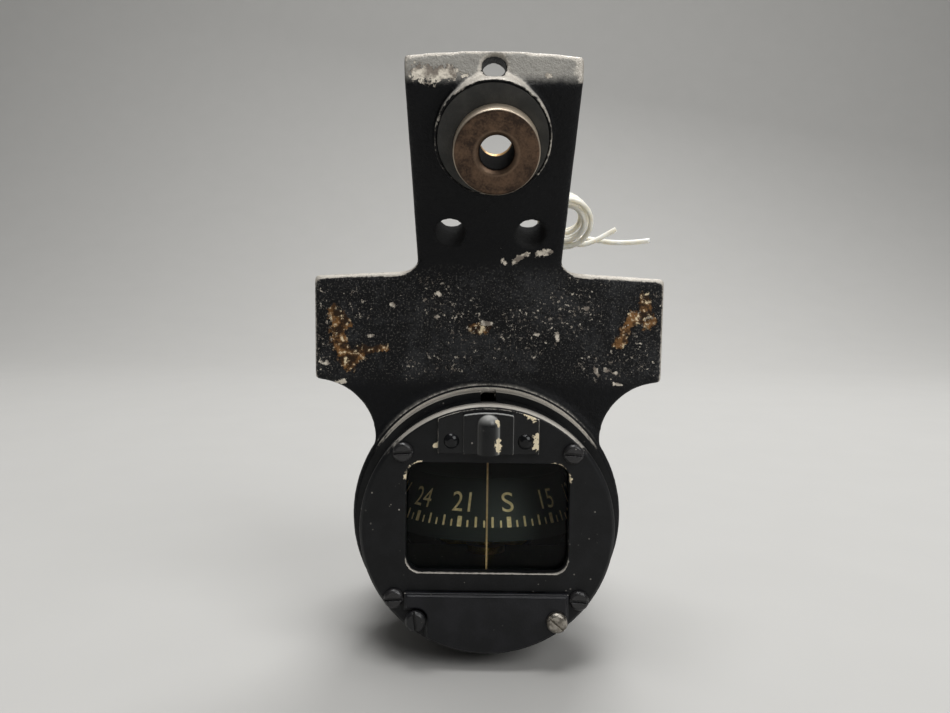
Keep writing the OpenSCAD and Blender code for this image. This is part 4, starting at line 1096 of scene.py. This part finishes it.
class COMPASS_OT_lamp(bpy.types.Operator):
    """Finishes the dial lamp, its cover and rivets"""

    bl_idname = "compass.lamp"
    bl_label = "Dial lamp"

    def execute(self, context):
        enamel = enamel_on_metal("gloss_enamel_on_sheet", ("#0b0c0d", "#121315"), 0.2, 1.6, 0.3)
        cover = recast("lamp_cover", "lamp_cover_finish", COVER_GRAIN, 6)
        points = compass_points(cover.data)
        normals = vertex_values(cover.data, "normal")
        x, y, z = points.T
        side, reach = np.abs(x), np.hypot(x, z)
        outline = ramp(np.minimum(side.max() - side, reach.max() - reach), 0.3, 0)
        store(cover.data, "edge", 1.2 * mark_edges(cover, COVER_GRAIN) + 0.5 * outline)
        store(cover.data, "flake", stroke_field(points, COVER_CHIPS + HUMP_CHIPS))
        # Painted highlight: the raised hump's up-facing crown and its flanks, the right flank more than the
        # left, are painted pale where light from above and the right falls on them
        raised = ramp(y, -0.9, -1.3)
        crown = np.clip(normals[:, 2], 0, 1) ** 2
        flanks = np.where(normals[:, 0] > 0, 0.7, 0.3) * np.abs(normals[:, 0]) ** 6
        store(cover.data, "painted_highlight", raised * np.clip(crown + flanks, 0, 1))
        dress(cover, enamel, "instrument", "cover_enamel", "lamp_cover")
        softened("lamp_cover_rivets", enamel, "cover_enamel", width=0.12 * MM)
        repaint(metal_finish("lamp_brass", BRASS, 0.38, 2.0), "lamp_socket")
        repaint(clear_glass("lamp_glass", 0.03), "lamp_bulb")
        return {"FINISHED"}


class COMPASS_OT_door(bpy.types.Operator):
    """Finishes the compensator door"""

    bl_idname = "compass.door"
    bl_label = "Compensator door"

    def execute(self, context):
        enamel = enamel_on_metal("satin_enamel_on_door", ("#101114", "#1b1b1f"), 0.36, 0.6, 0.5)
        door = recast("compensator_door", "compensator_door_finish", DOOR_GRAIN)
        # Edge wear kept partly to up-looking edges, so the door's top edge also carries a painted highlight
        store(door.data, "edge", mark_edges(door, DOOR_GRAIN, 0.4))
        dress(door, enamel, "instrument", "cover_enamel", "compensator_door")
        return {"FINISHED"}


class COMPASS_OT_screws(bpy.types.Operator):
    """Finishes the slotted screws"""

    bl_idname = "compass.screws"
    bl_label = "Screws"

    def execute(self, context):
        steel = metal_finish("bare_turned_steel", ("#6e6a63", "#a7a29a"), 0.4, 1.2)
        black = enamel_on_metal("blackened_steel", ("#1c1b1c", "#2a292a"), 0.3, 0.5, 0.3, shine=NEW_SHINE)
        heads = recast("bezel_screws", "bezel_screws_finish", SCREW_GRAIN)
        # Edge wear kept partly to up-looking edges, so it is partly a painted highlight on the heads
        store(heads.data, "edge", 0.8 * mark_edges(heads, SCREW_GRAIN, 0.3))
        dress(heads, black, "instrument", "black_screw", "bezel_screws")
        softened("door_screws", self.door_screw_steel(), "bare_steel", width=0.14 * MM)
        for node in ("case_mount_screws", "rear_cover_screws"):
            softened(node, steel, "bare_steel", width=0.14 * MM)
        repaint(steel, "frame_screw")
        return {"FINISHED"}

    def door_screw_steel(self):
        """Turned steel, bare on the right screw and still mostly painted on the left one."""
        material, shader, space = new_material("part_painted_steel")
        cloud = noise(space, 1.0, 5)
        left = between(coordinate(space, "X"), 1.0, -1.0)
        painted = combine("MULTIPLY", left, between(cloud, 0.74, 0.66))
        bare = blend(between(cloud, 0.36, 0.66), "#77726a", "#b3ada3")
        feed(shader, {
            "Base Color": blend(painted, bare, "#131315"),
            "Metallic": combine("SUBTRACT", 1.0, painted),
            "Roughness": scaled(cloud, 0.2, 0.28),
        })
        bump(shader, noise(space, 0.25, 3), 0.03)
        return material


class COMPASS_OT_card(bpy.types.Operator):
    """Paints the card and wraps its marks and numerals round the drum"""

    bl_idname = "compass.card"
    bl_label = "Compass card"

    def execute(self, context):
        repaint(flat_paint("green_black_card", (colours().card, "#101614"), 0.6, 2.0), "card_drum")
        # The float is given dark tones
        repaint(metal_finish("dark_float_brass", ("#16130d", "#241f15"), 0.55, 3.0), "card_float")
        repaint(metal_finish("card_magnet_alloy", MAGNET_ALLOY, 0.5, 1.5), "card_magnets")
        repaint(metal_finish("hard_steel", ("#8a8a8a", "#b0b0b0"), 0.25, 1.0), "pivot_needle")
        repaint(metal_finish("post_brass", BRASS, 0.38, 2.0), "pivot_post")
        repaint(clear_glass("jewel", 0.05), "jewel_cup")
        kinds = {
            5: self.tick(FIVE_WIDTH, SHORT_MARK),
            10: self.tick(TEN_WIDTH, TALL_MARK),
            30: self.tick(THIRTY_WIDTH, TALL_MARK),
        }
        parts = []
        for degrees in range(0, 360, 5):
            kind = max(step for step in kinds if degrees % step == 0)
            mark = kinds[kind].copy()
            mark.data = kinds[kind].data.copy()
            context.scene.collection.objects.link(mark)
            parts.append(self.wrap(mark, degrees))
        for model in kinds.values():
            bpy.data.objects.remove(model)
        for index, text in enumerate(NUMERALS):
            parts.append(self.wrap(self.numeral(text), index * 30))
        deselect()
        for part in parts:
            part.select_set(True)
        context.view_layer.objects.active = parts[0]
        bpy.ops.object.join()
        marks = context.object
        marks.name = "card_marks"
        cream = flat_paint("aged_cream_paint", ("#cbae7e", colours().cream), 0.6, 1.2)
        dress(marks, cream, "card", "lubber_cream")
        return {"FINISHED"}

    def tick(self, width, height):
        """A bar with rounded ends, flat in X and Z, its foot on the scale's line."""
        deselect()
        bpy.ops.mesh.primitive_plane_add(size=1, location=(0, 0, 0), rotation=(math.radians(90), 0, 0))
        bar = bpy.context.object
        bar.scale = (width * MM, height * MM, 1)
        bpy.ops.object.transform_apply(rotation=True, scale=True)
        bpy.ops.object.mode_set(mode="EDIT")
        bpy.ops.mesh.select_all(action="SELECT")
        bpy.ops.mesh.bevel(offset=MARK_CORNER * MM, segments=2, affect="VERTICES")
        bpy.ops.transform.translate(value=(0, 0, (MARK_FOOT + height / 2) * MM))
        bpy.ops.object.mode_set(mode="OBJECT")
        return bar

    def numeral(self, text):
        """A numeral, flat in X and Z, with its foot at its height on the card."""
        deselect()
        bpy.ops.object.text_add(rotation=(math.radians(90), 0, 0))
        glyph = bpy.context.object
        glyph.data.body = text
        glyph.data.align_x = "CENTER"
        glyph.data.size = 1
        bpy.ops.object.convert(target="MESH")
        glyph = bpy.context.object
        bpy.ops.object.transform_apply(rotation=True)
        corners = np.array([v.co for v in glyph.data.vertices])
        low, high = corners.min(axis=0), corners.max(axis=0)
        scale = NUMERAL_HEIGHT * MM / (high[2] - low[2])
        bpy.ops.object.mode_set(mode="EDIT")
        bpy.ops.mesh.select_all(action="SELECT")
        bpy.ops.mesh.remove_doubles(threshold=0.0005)
        bpy.ops.mesh.subdivide(number_cuts=1)
        width = scale * (LETTER_WIDTH if text.isalpha() else FIGURE_WIDTH)
        bpy.ops.transform.translate(value=(-(high[0] + low[0]) / 2, 0, -low[2]))
        bpy.ops.transform.resize(value=(width, scale, scale), center_override=(0, 0, 0))
        bpy.ops.transform.translate(value=(0, 0, NUMERAL_FOOT * MM))
        bpy.ops.object.mode_set(mode="OBJECT")
        return glyph

    def wrap(self, mark, degrees):
        """Bends a flat mark round the drum, which leans in above its knee, at its heading."""
        middle = math.radians(sizes().card_heading - degrees)
        axis = place(0, CARD_Y, 0)
        lean = CARD_LEAN / (CARD_TOP - CARD_KNEE)
        for vertex in mark.data.vertices:
            height = vertex.co.z
            radius = (CARD_R + MARK_PROUD) * MM - lean * max(0, height - CARD_KNEE * MM)
            angle = middle + vertex.co.x / radius
            vertex.co = axis + Vector((radius * math.sin(angle), -radius * math.cos(angle), height))
        return mark


class COMPASS_OT_compensator(bpy.types.Operator):
    """Finishes the geared compensator behind the door"""

    bl_idname = "compass.compensator"
    bl_label = "Compensator"

    def execute(self, context):
        brass = metal_finish("gear_brass", ("#7d6230", "#bd9a50"), 0.36, 1.5)
        alloy = metal_finish("magnet_alloy", MAGNET_ALLOY, 0.5, 1.5)
        repaint(brass, "compensator_frame")
        for side in ("north", "east"):
            repaint(brass, side + "_adjuster", side + "_mate")
            repaint(alloy, side + "_adjuster_magnet", side + "_mate_magnet")
        return {"FINISHED"}


STEPS = (
    COMPASS_OT_stage,
    COMPASS_OT_wires,
    COMPASS_OT_bracket,
    COMPASS_OT_bush,
    COMPASS_OT_case,
    COMPASS_OT_bezel,
    COMPASS_OT_lamp,
    COMPASS_OT_door,
    COMPASS_OT_screws,
    COMPASS_OT_card,
    COMPASS_OT_compensator,
)


class COMPASS_PT_panel(bpy.types.Panel):
    """Lists the steps that dress the compass"""

    bl_label = "Aircraft Compass"
    bl_space_type = "VIEW_3D"
    bl_region_type = "UI"
    bl_category = "Compass"

    def draw(self, context):
        for step in STEPS:
            self.layout.operator(step.bl_idname)
        for group in (context.scene.compass_sizes, context.scene.compass_colours):
            for name in group.__annotations__:
                self.layout.prop(group, name)


CLASSES = (CompassSizes, CompassColours, *STEPS, COMPASS_PT_panel)


def register():
    for item in CLASSES:
        bpy.utils.register_class(item)
    bpy.types.Scene.compass_sizes = bpy.props.PointerProperty(type=CompassSizes)
    bpy.types.Scene.compass_colours = bpy.props.PointerProperty(type=CompassColours)


def unregister():
    del bpy.types.Scene.compass_colours
    del bpy.types.Scene.compass_sizes
    for item in reversed(CLASSES):
        bpy.utils.unregister_class(item)


def main():
    register()
    for step in STEPS:
        group, name = step.bl_idname.split(".")
        getattr(getattr(bpy.ops, group), name)()
    deselect()


if __name__ == "__main__":
    main()
